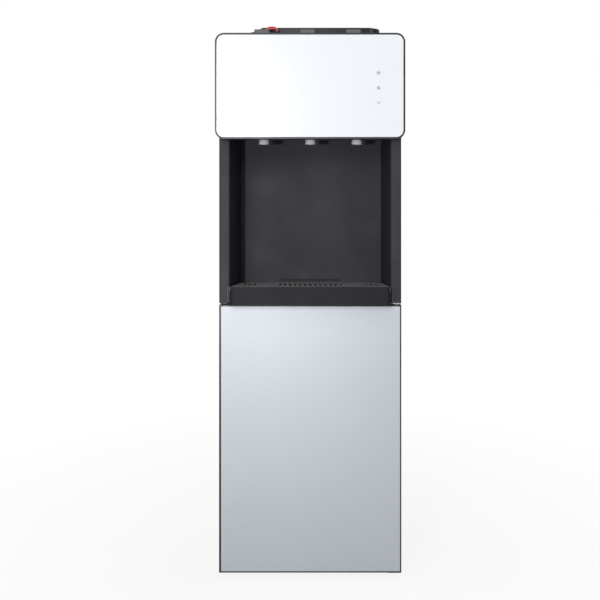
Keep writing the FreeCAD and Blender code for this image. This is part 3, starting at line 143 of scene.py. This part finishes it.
def build_brush(w, given):
    """Drawn or brushed lines along one direction, for metal."""
    streak = w.noise(given["Place"], 1.0, 6.0, 0.7)
    cloud = w.noise(w.place(), 9.0, 3.0, 0.5)
    colour = w.blend(w.spread(streak, 0.3, 0.7), given["Base"], given["Shade"])
    rough = w.maths("ADD", given["Roughness"], w.spread(streak, 0.2, 0.8, -0.06, 0.1))
    rough = w.maths("ADD", rough, w.spread(cloud, 0.3, 0.7, -0.04, 0.06), clamp=True)
    return {"Color": colour, "Roughness": rough, "Height": streak}


GRAIN = effect("moulded_grain",
               [("Base", COLOUR, (0.5, 0.5, 0.5, 1)), ("Shade", COLOUR, (0.4, 0.4, 0.4, 1)),
                ("Roughness", NUMBER, 0.5), ("Grain Scale", NUMBER, 1500.0), ("Cloud Scale", NUMBER, 9.0)],
               [("Color", COLOUR), ("Roughness", NUMBER), ("Height", NUMBER)], build_grain)
DUST = effect("settled_dust",
              [("Color", COLOUR, (0.5, 0.5, 0.5, 1)), ("Roughness", NUMBER, 0.5), ("Amount", NUMBER, 0.2)],
              [("Color", COLOUR), ("Roughness", NUMBER)], build_dust)
BRUSH = effect("brushed_lines",
               [("Base", COLOUR, (0.6, 0.6, 0.6, 1)), ("Shade", COLOUR, (0.5, 0.5, 0.5, 1)),
                ("Roughness", NUMBER, 0.3), ("Place", "NodeSocketVector", (0, 0, 0))],
               [("Color", COLOUR), ("Roughness", NUMBER), ("Height", NUMBER)], build_brush)


# ------------------------------------------------------------------ finishes

def solid(red, green, blue):
    return (red, green, blue, 1.0)


def start_finish(name, **constants):
    """A material with its shader, whose plain sockets hold the given constants."""
    material = bpy.data.materials.new(name)
    material.use_nodes = True
    tree = material.node_tree
    shader = next(node for node in tree.nodes if node.type == "BSDF_PRINCIPLED")
    for label, value in constants.items():
        shader.inputs[label].default_value = value
    return material, Wiring(tree), shader


def group_node(w, group, **inputs):
    made = w.node("ShaderNodeGroup", node_tree=group)
    for label, value in inputs.items():
        target = made.inputs[label.replace("_", " ")]
        if isinstance(value, bpy.types.NodeSocket):
            w.tree.links.new(value, target)
        else:
            target.default_value = value
    return made.outputs


def surface(w, shader, colour, rough, height=None, depth=0.00002, strength=0.5):
    w.tree.links.new(colour, shader.inputs["Base Color"])
    w.tree.links.new(rough, shader.inputs["Roughness"])
    if height is not None:
        bump = w.node("ShaderNodeBump", inputs={"Height": height, "Distance": depth, "Strength": strength})
        w.tree.links.new(bump.outputs[0], shader.inputs["Normal"])


def moulded(name, base, shade, rough=0.45, grain=1500.0, cloud=9.0, depth=0.00003, dust=0.0, **constants):
    """Moulded plastic, rubber or paint with a fine grain."""
    material, w, shader = start_finish(name, **constants)
    out = group_node(w, GRAIN, Base=solid(*base), Shade=solid(*shade), Roughness=rough,
                     Grain_Scale=grain, Cloud_Scale=cloud)
    colour, gloss, height = out["Color"], out["Roughness"], out["Height"]
    if dust:
        settled = group_node(w, DUST, Color=colour, Roughness=gloss, Amount=dust)
        colour, gloss = settled["Color"], settled["Roughness"]
    surface(w, shader, colour, gloss, height, depth)
    return material


def brushed(name, base, shade, rough=0.3, stretch=(900, 900, 12), depth=0.00001, **constants):
    """Brushed or drawn metal."""
    material, w, shader = start_finish(name, Metallic=1.0, **constants)
    out = group_node(w, BRUSH, Base=solid(*base), Shade=solid(*shade), Roughness=rough,
                     Place=w.place(stretch))
    surface(w, shader, out["Color"], out["Roughness"], out["Height"], depth)
    return material


def bead_foam(name):
    """Expanded foam, with the outlines of its beads."""
    material, w, shader = start_finish(name)
    cells = w.node("ShaderNodeTexVoronoi", feature="DISTANCE_TO_EDGE",
                   inputs={"Vector": w.place(), "Scale": 260.0})
    edge = w.spread(cells.outputs["Distance"], 0.0, 0.12)
    colour = w.blend(edge, solid(0.62, 0.62, 0.6), solid(0.84, 0.84, 0.82))
    surface(w, shader, colour, w.spread(edge, 0.0, 1.0, 0.75, 0.6), edge, 0.0002)
    return material


def circuit_board(name):
    """Green board with paler tracks."""
    material, w, shader = start_finish(name)
    tracks = w.node("ShaderNodeTexBrick",
                    inputs={"Vector": w.place(), "Scale": 160.0, "Mortar Size": 0.03,
                            "Color1": solid(0.02, 0.15, 0.07), "Color2": solid(0.02, 0.12, 0.06),
                            "Mortar": solid(0.06, 0.3, 0.15)})
    surface(w, shader, tracks.outputs["Color"], w.spread(tracks.outputs["Fac"], 0.0, 1.0, 0.3, 0.42))
    return material


def backed_glass(name):
    """White glass, painted on its back, smooth with the faintest ripple in its gloss."""
    material, w, shader = start_finish(name, **{"Coat Weight": 1.0, "Coat Roughness": 0.03, "IOR": 1.5})
    cloud = w.noise(w.place(), 4.0, 2.0)
    colour = w.blend(w.spread(cloud, 0.3, 0.7), solid(0.93, 0.94, 0.955), solid(0.90, 0.92, 0.945))
    ripple = w.noise(w.place(), 22.0, 1.0)
    surface(w, shader, colour, w.spread(cloud, 0.3, 0.7, 0.16, 0.22), ripple, 0.00002, 0.3)
    return material


def silver_front(name):
    """Silver paint with fine flakes under a smooth clear coat."""
    material, w, shader = start_finish(name, Metallic=0.55, **{"Coat Weight": 0.25, "Coat Roughness": 0.25})
    flakes = w.node("ShaderNodeTexVoronoi", inputs={"Vector": w.place(), "Scale": 2600.0})
    sparkle = w.spread(flakes.outputs["Distance"], 0.1, 0.7)
    cloud = w.noise(w.place(), 3.0, 2.0)
    silver = w.blend(w.spread(cloud, 0.3, 0.7), solid(0.53, 0.55, 0.585), solid(0.515, 0.535, 0.57))
    colour = w.blend(w.maths("MULTIPLY", sparkle, 0.12), silver, solid(0.68, 0.70, 0.73))
    surface(w, shader, colour, w.spread(cloud, 0.3, 0.7, 0.52, 0.55), sparkle, 0.000004, 0.3)
    return material


def milky_hose(name):
    """Flexible hose that lets some light through."""
    material, w, shader = start_finish(name, **{"Transmission Weight": 0.35, "IOR": 1.4})
    out = group_node(w, GRAIN, Base=solid(0.78, 0.8, 0.81), Shade=solid(0.7, 0.73, 0.75), Roughness=0.32,
                     Grain_Scale=700.0, Cloud_Scale=40.0)
    surface(w, shader, out["Color"], out["Roughness"], out["Height"], 0.00003)
    return material


FINISH = {
    "charcoal": moulded("charcoal_moulding", (0.023, 0.023, 0.031), (0.019, 0.019, 0.026), 0.55, dust=0.05,
                        **{"Specular IOR Level": 0.4}),
    "tray": moulded("tray_moulding", (0.0095, 0.0095, 0.0125), (0.008, 0.008, 0.0105), 0.6, dust=0.08,
                    **{"Specular IOR Level": 0.3}),
    "grille": moulded("grille_moulding", (0.21, 0.21, 0.215), (0.16, 0.16, 0.165), 0.55, grain=900.0,
                      depth=0.00008, dust=0.35),
    # Pale grey for the rounded tray and collar edges: a painted highlight where these edges catch the light.
    "bead": moulded("painted_edge_highlight", (0.16, 0.16, 0.165), (0.11, 0.11, 0.115), 0.45),
    "frame": moulded("frame_moulding", (0.02, 0.02, 0.022), (0.016, 0.016, 0.018), 0.32, grain=1100.0,
                     dust=0.1),
    "console": moulded("console_moulding", (0.018, 0.018, 0.021), (0.015, 0.015, 0.018), 0.42, dust=0.05),
    "casing": moulded("casing_paint", (0.03, 0.03, 0.033), (0.026, 0.026, 0.029), 0.4, grain=600.0,
                      depth=0.00005, dust=0.08),
    "service": moulded("service_plastic", (0.03, 0.03, 0.03), (0.024, 0.024, 0.024), 0.5),
    "glass": backed_glass("white_backed_glass"),
    "door": silver_front("silver_door_front"),
    "spout": moulded("spout_plastic", (0.72, 0.73, 0.75), (0.66, 0.67, 0.69), 0.22, depth=0.00001,
                     **{"Coat Weight": 0.4}),
    "tap": moulded("tap_plastic", (0.76, 0.76, 0.75), (0.7, 0.7, 0.69), 0.42),
    "button": moulded("button_plastic", (0.13, 0.135, 0.145), (0.11, 0.115, 0.125), 0.4, dust=0.1),
    "red": moulded("red_plastic", (0.62, 0.035, 0.03), (0.5, 0.025, 0.022), 0.28, **{"Coat Weight": 0.3}),
    "green": moulded("green_plastic", (0.03, 0.34, 0.1), (0.02, 0.27, 0.08), 0.3, **{"Coat Weight": 0.3}),
    "ink": moulded("printed_grey", (0.05, 0.053, 0.06), (0.07, 0.073, 0.08), 0.5),
    "board": circuit_board("circuit_board"),
    "steel": brushed("stainless_sheet", (0.62, 0.62, 0.63), (0.5, 0.5, 0.51), 0.28),
    "zinc": brushed("zinc_sheet", (0.56, 0.58, 0.6), (0.46, 0.48, 0.5), 0.42, stretch=(60, 60, 60)),
    "wire": brushed("spring_wire", (0.55, 0.55, 0.56), (0.42, 0.42, 0.43), 0.25, stretch=(400, 400, 400)),
    "copper": brushed("drawn_copper", (0.78, 0.42, 0.29), (0.55, 0.27, 0.17), 0.3, stretch=(90, 90, 90)),
    "foam": bead_foam("bead_foam"),
    "machine": moulded("machine_enamel", (0.018, 0.018, 0.019), (0.013, 0.013, 0.014), 0.25, grain=400.0,
                       depth=0.00006, dust=0.25, **{"Coat Weight": 0.4}),
    "rubber": moulded("black_rubber", (0.02, 0.02, 0.021), (0.028, 0.028, 0.028), 0.72, grain=500.0,
                      depth=0.00006),
    "hose": milky_hose("milky_hose"),
    "pump": moulded("pump_plastic", (0.6, 0.61, 0.63), (0.52, 0.53, 0.55), 0.45),
    "probe": moulded("probe_plastic", (0.62, 0.7, 0.8), (0.55, 0.63, 0.74), 0.35),
    "liner": moulded("liner_plastic", (0.09, 0.09, 0.095), (0.075, 0.075, 0.08), 0.5, dust=0.1),
}

DRESS = {
    "casing": ["left_side_panel", "right_side_panel", "rear_panel", "top_cover"],
    "charcoal": ["recess_moulding"],
    "tray": ["drip_tray"],
    "grille": ["drip_grille"],
    "frame": ["head_frame", "door_frame"],
    "console": ["button_console"],
    "service": ["switch_bezel", "mains_inlet", "drain_cap"],
    "glass": ["head_glass", "indicator_windows"],
    "door": ["door_panel"],
    "spout": ["hot_spout", "room_spout", "cold_spout"],
    "tap": ["hot_tap_body", "room_tap_body", "cold_tap_body"],
    "button": ["hot_button", "room_button", "cold_button"],
    "red": ["child_lock", "hot_switch"],
    "green": ["cold_switch"],
    "board": ["indicator_board"],
    "steel": ["cold_tank", "hot_tank", "drain_pipe"],
    "foam": ["cold_tank_jacket", "hot_tank_jacket"],
    "zinc": ["machine_shelf", "tank_shelf", "lower_hinge", "upper_hinge", "heater_band"],
    "wire": ["hot_button_spring", "room_button_spring", "cold_button_spring"],
    "machine": ["compressor", "condenser_tube", "condenser_wires", "condenser_brackets"],
    "rubber": ["compressor_grommets", "feet", "door_magnet"],
    "copper": ["refrigerant_lines", "filter_drier", "evaporator_coil"],
    "hose": ["probe_hose", "delivery_hose", "tap_feed_tubes"],
    "pump": ["pump"],
    "probe": ["bottle_probe", "probe_holder"],
    "liner": ["door_liner", "base_pan"],
}
for key, names in DRESS.items():
    for name in names:
        mesh = NODES[name].data
        mesh.materials.clear()
        mesh.materials.append(FINISH[key])


# ------------------------------------------------------------------ pieces

def piece(name, mesh, finish, body):
    """An object for a finished mesh, riding on its body."""
    made = bpy.data.objects.new(name, mesh)
    bpy.context.scene.collection.objects.link(made)
    mesh.materials.append(FINISH[finish])
    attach(made, body)
    return made


def finished_mesh(name, work, smooth=False):
    bmesh.ops.recalc_face_normals(work, faces=work.faces)
    mesh = bpy.data.meshes.new(name)
    work.to_mesh(mesh)
    work.free()
    for face in mesh.polygons:
        face.use_smooth = smooth
    return mesh


def raised(work, outlines, centre, back, height):
    """Closed prints, given as outlines in X and Z round a centre, raised towards the front."""
    for points in outlines:
        lower = [work.verts.new((centre[0] + x, back, centre[1] + z)) for x, z in points]
        upper = [work.verts.new((centre[0] + x, back - height, centre[1] + z)) for x, z in points]
        work.faces.new(upper)
        work.faces.new(lower[::-1])
        for index in range(len(points)):
            after = (index + 1) % len(points)
            work.faces.new((lower[index], lower[after], upper[after], upper[index]))


def bar(start, end, width):
    """Outline of a straight stroke."""
    way = (Vector(end) - Vector(start)).normalized()
    across = Vector((-way.y, way.x)) * width / 2
    return [tuple(Vector(start) + across), tuple(Vector(start) - across),
            tuple(Vector(end) - across), tuple(Vector(end) + across)]


def disc(radius, sides=20):
    return [(radius * math.cos(2 * math.pi * i / sides), radius * math.sin(2 * math.pi * i / sides))
            for i in range(sides)]


def arc_strokes(radius, width, sides=24):
    """A ring made of short strokes."""
    points = disc(radius, sides)
    return [bar(points[i], points[(i + 1) % sides], width) for i in range(sides)]


def along(angle, distance):
    return (distance * math.cos(angle), distance * math.sin(angle))


def make_indicator_prints():
    """Sun, frost and mains signs, printed over the indicator windows."""
    low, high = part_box("indicator_windows")
    x = (low.x + high.x) / 2
    levels = [high.z - (high.x - low.x) / 2, (low.z + high.z) / 2, low.z + (high.x - low.x) / 2]
    stroke, ink_height = 0.55 * MM, 0.06 * MM
    ring_radius, core_radius = 3.3 * MM, 1.5 * MM
    sun = arc_strokes(ring_radius, stroke) + [disc(core_radius)]
    arm_start, arm_end, fork, twig = 0.3 * MM, 3.4 * MM, 2.1 * MM, 1.3 * MM
    frost = []
    for arm in range(6):
        angle = math.radians(60 * arm + 30)
        frost.append(bar(along(angle, arm_start), along(angle, arm_end), stroke))
        for side in (-1, 1):
            tip = Vector(along(angle, fork)) + Vector(along(angle + side * math.radians(50), twig))
            frost.append(bar(along(angle, fork), tuple(tip), stroke * 0.8))
    pulse = [(across * MM, up * MM) for across, up in
             ((-3.0, 0.2), (-0.9, 0.2), (0.2, 2.4), (0.6, -2.2), (2.9, 0.9))]
    mains = [bar(start, end, stroke) for start, end in zip(pulse, pulse[1:])]
    signs = (("heating_print", sun), ("cooling_print", frost), ("power_print", mains))
    for (name, strokes), z in zip(signs, levels):
        work = bmesh.new()
        raised(work, strokes, (x, z), low.y, ink_height)
        piece(name, finished_mesh(name, work), "ink", "cabinet")


def bent_pipe(name, points, bend, radius, finish, body, node=None):
    """Round pipes, each through its own points with true bends, at a share of the radius."""
    curve = bpy.data.curves.new(name, "CURVE")
    curve.dimensions = "3D"
    curve.bevel_depth = radius
    curve.bevel_resolution = 5
    curve.use_fill_caps = True
    curve.resolution_u = 8
    for share, run in points:
        spots = [Vector(point) * MM for point in run]
        marks = [(spots[0], None, None)]
        for before, corner, after in zip(spots, spots[1:], spots[2:]):
            back = (before - corner).normalized()
            ahead = (after - corner).normalized()
            reach = bend / math.tan(back.angle(ahead) / 2)
            lead = 4 / 3 * math.tan((math.pi - back.angle(ahead)) / 4) * bend
            entry, leave = corner + back * reach, corner + ahead * reach
            if (entry - marks[-1][0]).length < 1e-5:
                marks[-1] = (entry, marks[-1][1], entry - back * lead)
            else:
                marks.append((entry, None, entry - back * lead))
            marks.append((leave, leave - ahead * lead, None))
        marks.append((spots[-1], None, None))
        spline = curve.splines.new("BEZIER")
        spline.bezier_points.add(len(marks) - 1)
        for index, (knot, (spot, left, right)) in enumerate(zip(spline.bezier_points, marks)):
            knot.co = spot
            knot.radius = share
            knot.handle_left_type = knot.handle_right_type = "FREE"
            before = marks[max(index - 1, 0)][0]
            after = marks[min(index + 1, len(marks) - 1)][0]
            knot.handle_left = left if left is not None else spot.lerp(before, 1 / 3)
            knot.handle_right = right if right is not None else spot.lerp(after, 1 / 3)
    made = bpy.data.objects.new(name, curve)
    bpy.context.scene.collection.objects.link(made)
    curve.materials.append(FINISH[finish])
    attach(made, body)
    if node:
        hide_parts(node)
    return made


def coiled(name, centre, low, pitch, turns, radius, wire, finish, node, steps=40, sides=12):
    """Round wire or tube wound about the Z axis."""
    work = bmesh.new()
    count = int(turns * steps)
    rings = []
    for step in range(count + 1):
        angle = 2 * math.pi * step / steps
        middle = Vector((centre[0] + radius * math.cos(angle), centre[1] + radius * math.sin(angle),
                         low + pitch * step / steps))
        outward = Vector((math.cos(angle), math.sin(angle), 0))
        heading = Vector((-math.sin(angle) * radius, math.cos(angle) * radius, pitch / (2 * math.pi)))
        across = heading.normalized().cross(outward)
        rings.append([work.verts.new(middle + wire * (outward * math.cos(turn) + across * math.sin(turn)))
                      for turn in (2 * math.pi * side / sides for side in range(sides))])
    for near, far in zip(rings, rings[1:]):
        for index in range(sides):
            after = (index + 1) % sides
            work.faces.new((near[index], near[after], far[after], far[index]))
    work.faces.new(rings[0][::-1])
    work.faces.new(rings[-1])
    made = piece(name, finished_mesh(name, work, smooth=True), finish, "cabinet")
    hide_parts(node)
    return made


def make_springs():
    """Return springs under the buttons (real ones shorten as the buttons go down); here each is wound at its
    height in the model and keeps that length.
    """
    wire, turns, travel = 0.6 * MM, 6, 5 * MM
    for name in ("hot", "room", "cold"):
        low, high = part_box(name + "_button_spring")
        centre = ((low.x + high.x) / 2, (low.y + high.y) / 2)
        held = high.z - low.z
        pitch = (held - 2 * wire) / turns
        radius = (high.x - low.x) / 2 - wire
        made = coiled(name + "_return_spring", centre, low.z + wire, pitch, turns, radius, wire, "wire",
                      name + "_button_spring", steps=28, sides=8)
        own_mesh(made)


def make_screws():
    """Pan-head screws down both edges of the rear panel."""
    work = bmesh.new()
    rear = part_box("rear_panel")[1].y
    radius, rise, cross_depth, cross_width, sides = 3.6 * MM, 1.9 * MM, 0.5 * MM, 0.7 * MM, 16
    columns, levels = (-0.169, 0.169), (0.035, 0.25, 0.475, 0.75, 1.0)
    head_profile = ((1.0, 0.0), (1.0, 0.45), (0.86, 0.8), (0.55, 1.0))
    circle = disc(1.0, sides)
    for x in columns:
        for z in levels:
            rings = []
            for share, depth in head_profile:
                rings.append([work.verts.new((x + radius * share * across, rear + rise * depth,
                                              z + radius * share * up)) for across, up in circle])
            for near, far in zip(rings, rings[1:]):
                for i in range(sides):
                    after = (i + 1) % sides
                    work.faces.new((near[i], near[after], far[after], far[i]))
            work.faces.new(rings[-1])
            work.faces.new(rings[0][::-1])
            for turned in (0, 90):
                blade = bmesh.ops.create_cube(work, size=1.0)["verts"]
                matrix = (Matrix.Translation((x, rear + rise, z))
                          @ Matrix.Rotation(math.radians(turned), 4, "Y")
                          @ Matrix.Diagonal((radius * 1.05, cross_depth, cross_width, 1)))
                bmesh.ops.transform(work, matrix=matrix, verts=blade)
    piece("rear_screws", finished_mesh("rear_screws", work), "zinc", "cabinet")


def make_condenser():
    """Serpentine tube and its wires, round instead of flat-sided."""
    left, right, plane, panel = -95, 140, 180.9, 149
    lowest, pitch, passes, tube_radius = 565, 36, 12, 2.5
    bend = pitch / 2
    levels = [lowest + pitch * step for step in range(passes)]
    run = [(left, panel, levels[0]), (left, plane, levels[0])]
    for step, z in enumerate(levels):
        ends = (left - bend, right + bend) if step % 2 == 0 else (right + bend, left - bend)
        if step:
            run.append((ends[0], plane, z))
        if step < passes - 1:
            run.append((ends[1], plane, z))
    run += [(left, plane, levels[-1]), (left, panel, levels[-1])]
    bent_pipe("serpentine_tube", [(1, run)], bend * MM, tube_radius * MM, "machine", "cabinet",
              "condenser_tube")
    first_wire, past_wire, wire_pitch, wire_radius, overhang = -71, 133, 12, 0.8, 10
    work = bmesh.new()
    for x in range(first_wire, past_wire, wire_pitch):
        for y in (plane - tube_radius - wire_radius, plane + tube_radius + wire_radius):
            made = bmesh.ops.create_cone(work, cap_ends=True, segments=12, radius1=wire_radius * MM,
                                         radius2=wire_radius * MM,
                                         depth=(levels[-1] - levels[0] + overhang) * MM)["verts"]
            bmesh.ops.translate(work, verts=made, vec=Vector((x, y, (levels[0] + levels[-1]) / 2)) * MM)
    wires = piece("cooling_wires", finished_mesh("cooling_wires", work, smooth=True), "machine", "cabinet")
    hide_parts("condenser_wires")


def make_copper_lines():
    """Lines between compressor, condenser, drier and evaporator, the capillary at half the radius."""
    line, panel, jacket = 132, 149, 115
    condenser, coil_level, tank_side = -95, 927.8, 20
    discharge, suction, ports, port_level = 50, 100, 79, 687
    runs = [
        (1, [(discharge, ports, port_level), (discharge, ports, 767), (discharge, line, 767),
             (discharge, line, 961), (condenser, line, 961), (condenser, panel, 961)]),
        (1, [(condenser, panel, 565), (condenser, line, 565), (condenser, line, 600)]),
        (0.5, [(condenser, line, 710), (condenser, line, 870), (tank_side, line, 870),
               (tank_side, line, coil_level), (tank_side, jacket, coil_level)]),
        (1, [(suction, ports, port_level), (suction, ports, 747), (suction, line, 747),
             (suction, line, coil_level), (suction, jacket, coil_level)]),
    ]
    bent_pipe("copper_lines", runs, 8 * MM, 3 * MM, "copper", "cabinet", "refrigerant_lines")


def make_door_gasket():
    """Soft seal round the inner face of the door."""
    low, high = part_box("door_frame")
    seal_rise, half_width, inset = 1.5, 152, 16
    y = high.y / MM + seal_rise
    left, right, bottom, top = -half_width, half_width, low.z / MM + inset, high.z / MM - inset
    middle = (bottom + top) / 2
    seam = 0.5
    loop = [(left, y, middle), (left, y, top), (right, y, top), (right, y, bottom), (left, y, bottom),
            (left, y, middle + seam)]
    bent_pipe("door_gasket", [(1, loop)], 12 * MM, 1.4 * MM, "rubber", "door")


def make_louvre_hoods():
    """Pressed hoods over the slots of the rear panel, open below."""
    work = bmesh.new()
    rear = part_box("rear_panel")[1].y
    columns, width, rows, lowest, pitch, steps = (-82, -2, 78), 62, 9, 574, 15, 6

    def quarter(depth, height):
        angles = [math.pi / 2 * step / steps for step in range(steps + 1)]
        return [(rear + depth * MM * math.sin(angle), height * MM * math.cos(angle)) for angle in angles]

    section = quarter(3.2, 6.4) + quarter(2.5, 5.6)[::-1]
    count = len(section)
    for left in columns:
        for row in range(rows):
            z = (lowest + pitch * row) * MM
            near = [work.verts.new((left * MM, y, z + rise)) for y, rise in section]
            far = [work.verts.new(((left + width) * MM, y, z + rise)) for y, rise in section]
            for i in range(count):
                work.faces.new((near[i], near[(i + 1) % count], far[(i + 1) % count], far[i]))
            for ring in (near, far):
                for i in range(steps):
                    work.faces.new((ring[i], ring[i + 1], ring[count - 2 - i], ring[count - 1 - i]))
    piece("louvre_hoods", finished_mesh("louvre_hoods", work), "casing", "cabinet")


def make_slot_shade_backing():
    """Black strip that closes the slot in the back of the recess from behind; its black is painted shade for
    the inside of the slot.
    """
    work = bmesh.new()
    rear, level, thickness, height = 9.2, 565.5, 1.4, 3.6
    for left, right in ((-60.6, -30), (-29, 29), (30, 60.6)):
        made = bmesh.ops.create_cube(work, size=1.0)["verts"]
        size = Vector((right - left, thickness, height)) * MM
        middle = Vector(((left + right) / 2, rear, level)) * MM
        bmesh.ops.transform(work, matrix=Matrix.Translation(middle) @ Matrix.Diagonal((*size, 1)), verts=made)
    bmesh.ops.bevel(work, geom=work.edges[:], offset=0.4 * MM, segments=2, affect="EDGES")
    # The black rubber finish here stands in for the shade inside the slot: painted shade.
    piece("slot_shade_backing", finished_mesh("slot_shade_backing", work), "rubber", "cabinet")


def make_edge_beads():
    """Rounded beads along the top of the tray's front and down the collar beside it; their pale grey is a
    painted highlight along these edges.
    """
    low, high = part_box("drip_tray")
    half, y, top, drop = high.x / MM - 0.6, low.y / MM + 2.2, high.z / MM - 0.5, 8
    path = [(-half, y, top - drop), (-half, y, top), (half, y, top), (half, y, top - drop)]
    bent_pipe("tray_bead", [(1, path)], 5 * MM, 0.6 * MM, "bead", "tray")
    collar_edge, collar_front, collar_foot, collar_return = 158.2, -162.9, 530, 3.4
    collar_top = top - 0.4
    runs = []
    for sign in (-1, 1):
        edge = collar_edge * sign
        runs.append((1, [(edge, collar_front, collar_foot), (edge, collar_front, collar_top),
                         (edge - collar_return * sign, collar_front, collar_top)]))
    bent_pipe("collar_bead", runs, 2.4 * MM, 0.5 * MM, "bead", "cabinet")


def slope(value, start, length):
    """How far a value has gone from the start of a slope to its end, from 0 to 1."""
    return min(max((value - start) / length, 0), 1)


def make_hood():
    """Console whose hood falls away at its left end and towards the front of its wings."""
    node = NODES["button_console"]
    work = bmesh.new()
    work.from_mesh(node.data)
    work.transform(node.matrix_world)
    floor = 1045.3 * MM
    left_end, right_end, wing = -0.093, 0.118, -0.116
    cuts = [((x, 0, 0), (1, 0, 0)) for x in
            (-0.112, -0.107, -0.102, -0.097, left_end, right_end, 0.124, 0.129)]
    cuts += [((0, y, 0), (0, 1, 0)) for y in (-0.150, -0.140, -0.130, -0.118)]
    for place, facing in cuts:
        bmesh.ops.bisect_plane(work, geom=work.verts[:] + work.edges[:] + work.faces[:], plane_co=place,
                               plane_no=facing, dist=1e-6)
    for vert in work.verts:
        if vert.co.z <= floor + 0.1 * MM:
            continue
        end = slope(-vert.co.x, -left_end, 0.021)
        near = slope(-vert.co.y, -wing, 0.0415)
        right = slope(vert.co.x, right_end, 0.015)
        share = (1 - 0.6 * end ** 1.3) * (1 - 0.42 * near) * (1 - 0.12 * right)
        vert.co.z = floor + (vert.co.z - floor) * share
    made = piece("console_hood", finished_mesh("console_hood", work), "console", "cabinet")
    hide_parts("button_console")


make_indicator_prints()
make_springs()
make_screws()
make_condenser()
make_copper_lines()
make_door_gasket()
make_louvre_hoods()
make_slot_shade_backing()
make_edge_beads()
make_hood()


# ------------------------------------------------------------------ camera, light and floor

def aim(thing, spot):
    way = Vector(spot) - thing.location
    thing.rotation_euler = way.to_track_quat("-Z", "Y").to_euler()


camera = bpy.data.objects.new("camera", bpy.data.cameras.new("camera"))
camera.location = (0.015, -1.853, 0.656)
camera.rotation_euler = (math.radians(90), 0, 0)
camera.data.sensor_width = 36
camera.data.lens = 52.9
camera.data.shift_x = -0.03
camera.data.shift_y = -0.105
camera.data.clip_end = 50
bpy.context.scene.collection.objects.link(camera)
bpy.context.scene.camera = camera


def lamp(name, place, target, width, power, colour=(1, 1, 1)):
    light = bpy.data.lights.new(name, "AREA")
    light.shape = "DISK"
    light.size = width
    light.energy = power
    light.color = colour
    made = bpy.data.objects.new(name, light)
    made.location = place
    bpy.context.scene.collection.objects.link(made)
    aim(made, target)


lamp("key_lamp", (-0.33, -1.95, 0.63), (0, -0.15, 0.62), 0.06, 10.5, (1.0, 1.0, 1.0))
lamp("left_box", (-0.4, -1.9, 1.15), (0, -0.15, 0.6), 0.5, 7.2, (0.97, 0.98, 1.0))
lamp("top_box", (-0.3, -1.3, 2.3), (0, -0.1, 0.6), 0.8, 6, (0.98, 0.99, 1.0))
lamp("rear_lamp", (0.8, 2.0, 1.6), (0, 0.1, 0.6), 1.6, 14)


def make_world():
    """Even sky: white where the camera looks, dimmer as light and in gloss."""
    world = bpy.data.worlds.new("studio")
    world.use_nodes = True
    world.node_tree.nodes.clear()
    bpy.context.scene.world = world
    w = Wiring(world.node_tree)
    path = w.node("ShaderNodeLightPath").outputs
    lit = w.node("ShaderNodeBackground", inputs={"Color": solid(0.93, 0.96, 1.0), "Strength": 0.36})
    seen = w.node("ShaderNodeBackground", inputs={"Color": solid(1, 1, 1), "Strength": 1.0})
    shiny = w.node("ShaderNodeBackground", inputs={"Color": solid(0.93, 0.96, 1.0), "Strength": 0.52})
    glossy = w.maths("MAXIMUM", path["Is Glossy Ray"], path["Is Transmission Ray"])
    first = w.node("ShaderNodeMixShader", inputs={0: glossy, 1: lit.outputs[0], 2: shiny.outputs[0]})
    second = w.node("ShaderNodeMixShader",
                    inputs={0: path["Is Camera Ray"], 1: first.outputs[0], 2: seen.outputs[0]})
    w.node("ShaderNodeOutputWorld", inputs={"Surface": second.outputs[0]})


def make_floor():
    """Pale paper that bends up behind the object and keeps its shadow."""
    work = bmesh.new()
    half, back, rise, bend, steps = 6.0, 2.6, 4.0, 0.8, 10
    line = [(-7.0, 0.0), (back - bend, 0.0)]
    for step in range(1, steps + 1):
        angle = math.pi / 2 * step / steps
        line.append((back - bend + bend * math.sin(angle), bend - bend * math.cos(angle)))
    line.append((back, rise))
    rows = [[work.verts.new((x, y, z)) for y, z in line] for x in (-half, half)]
    for index in range(len(line) - 1):
        work.faces.new((rows[0][index], rows[1][index], rows[1][index + 1], rows[0][index + 1]))
    mesh = bpy.data.meshes.new("studio_floor")
    work.to_mesh(mesh)
    work.free()
    for face in mesh.polygons:
        face.use_smooth = True
    floor = bpy.data.objects.new("studio_floor", mesh)
    bpy.context.scene.collection.objects.link(floor)
    material = bpy.data.materials.new("studio_paper")
    material.use_nodes = True
    tree = material.node_tree
    tree.nodes.clear()
    w = Wiring(tree)
    cloud = w.noise(w.place(), 2.0, 2.0)
    paper = w.blend(cloud, solid(0.8, 0.8, 0.8), solid(0.82, 0.82, 0.82))
    diffuse = w.node("ShaderNodeBsdfDiffuse", inputs={"Color": paper})
    white = w.node("ShaderNodeEmission", inputs={"Color": solid(1, 1, 1), "Strength": 1.0})
    path = w.node("ShaderNodeLightPath").outputs
    away = w.node("ShaderNodeVectorMath", operation="LENGTH",
                  inputs={0: w.place((1.0, 0.7, 1.0))}).outputs["Value"]
    seen = w.maths("MULTIPLY", path["Is Camera Ray"], w.spread(away, 0.25, 1.1, 0.88, 1.0))
    shader = w.node("ShaderNodeMixShader", inputs={0: seen, 1: diffuse.outputs[0], 2: white.outputs[0]})
    w.node("ShaderNodeOutputMaterial", inputs={"Surface": shader.outputs[0]})
    mesh.materials.append(material)


make_world()
make_floor()
bpy.context.scene.view_settings.view_transform = "Standard"
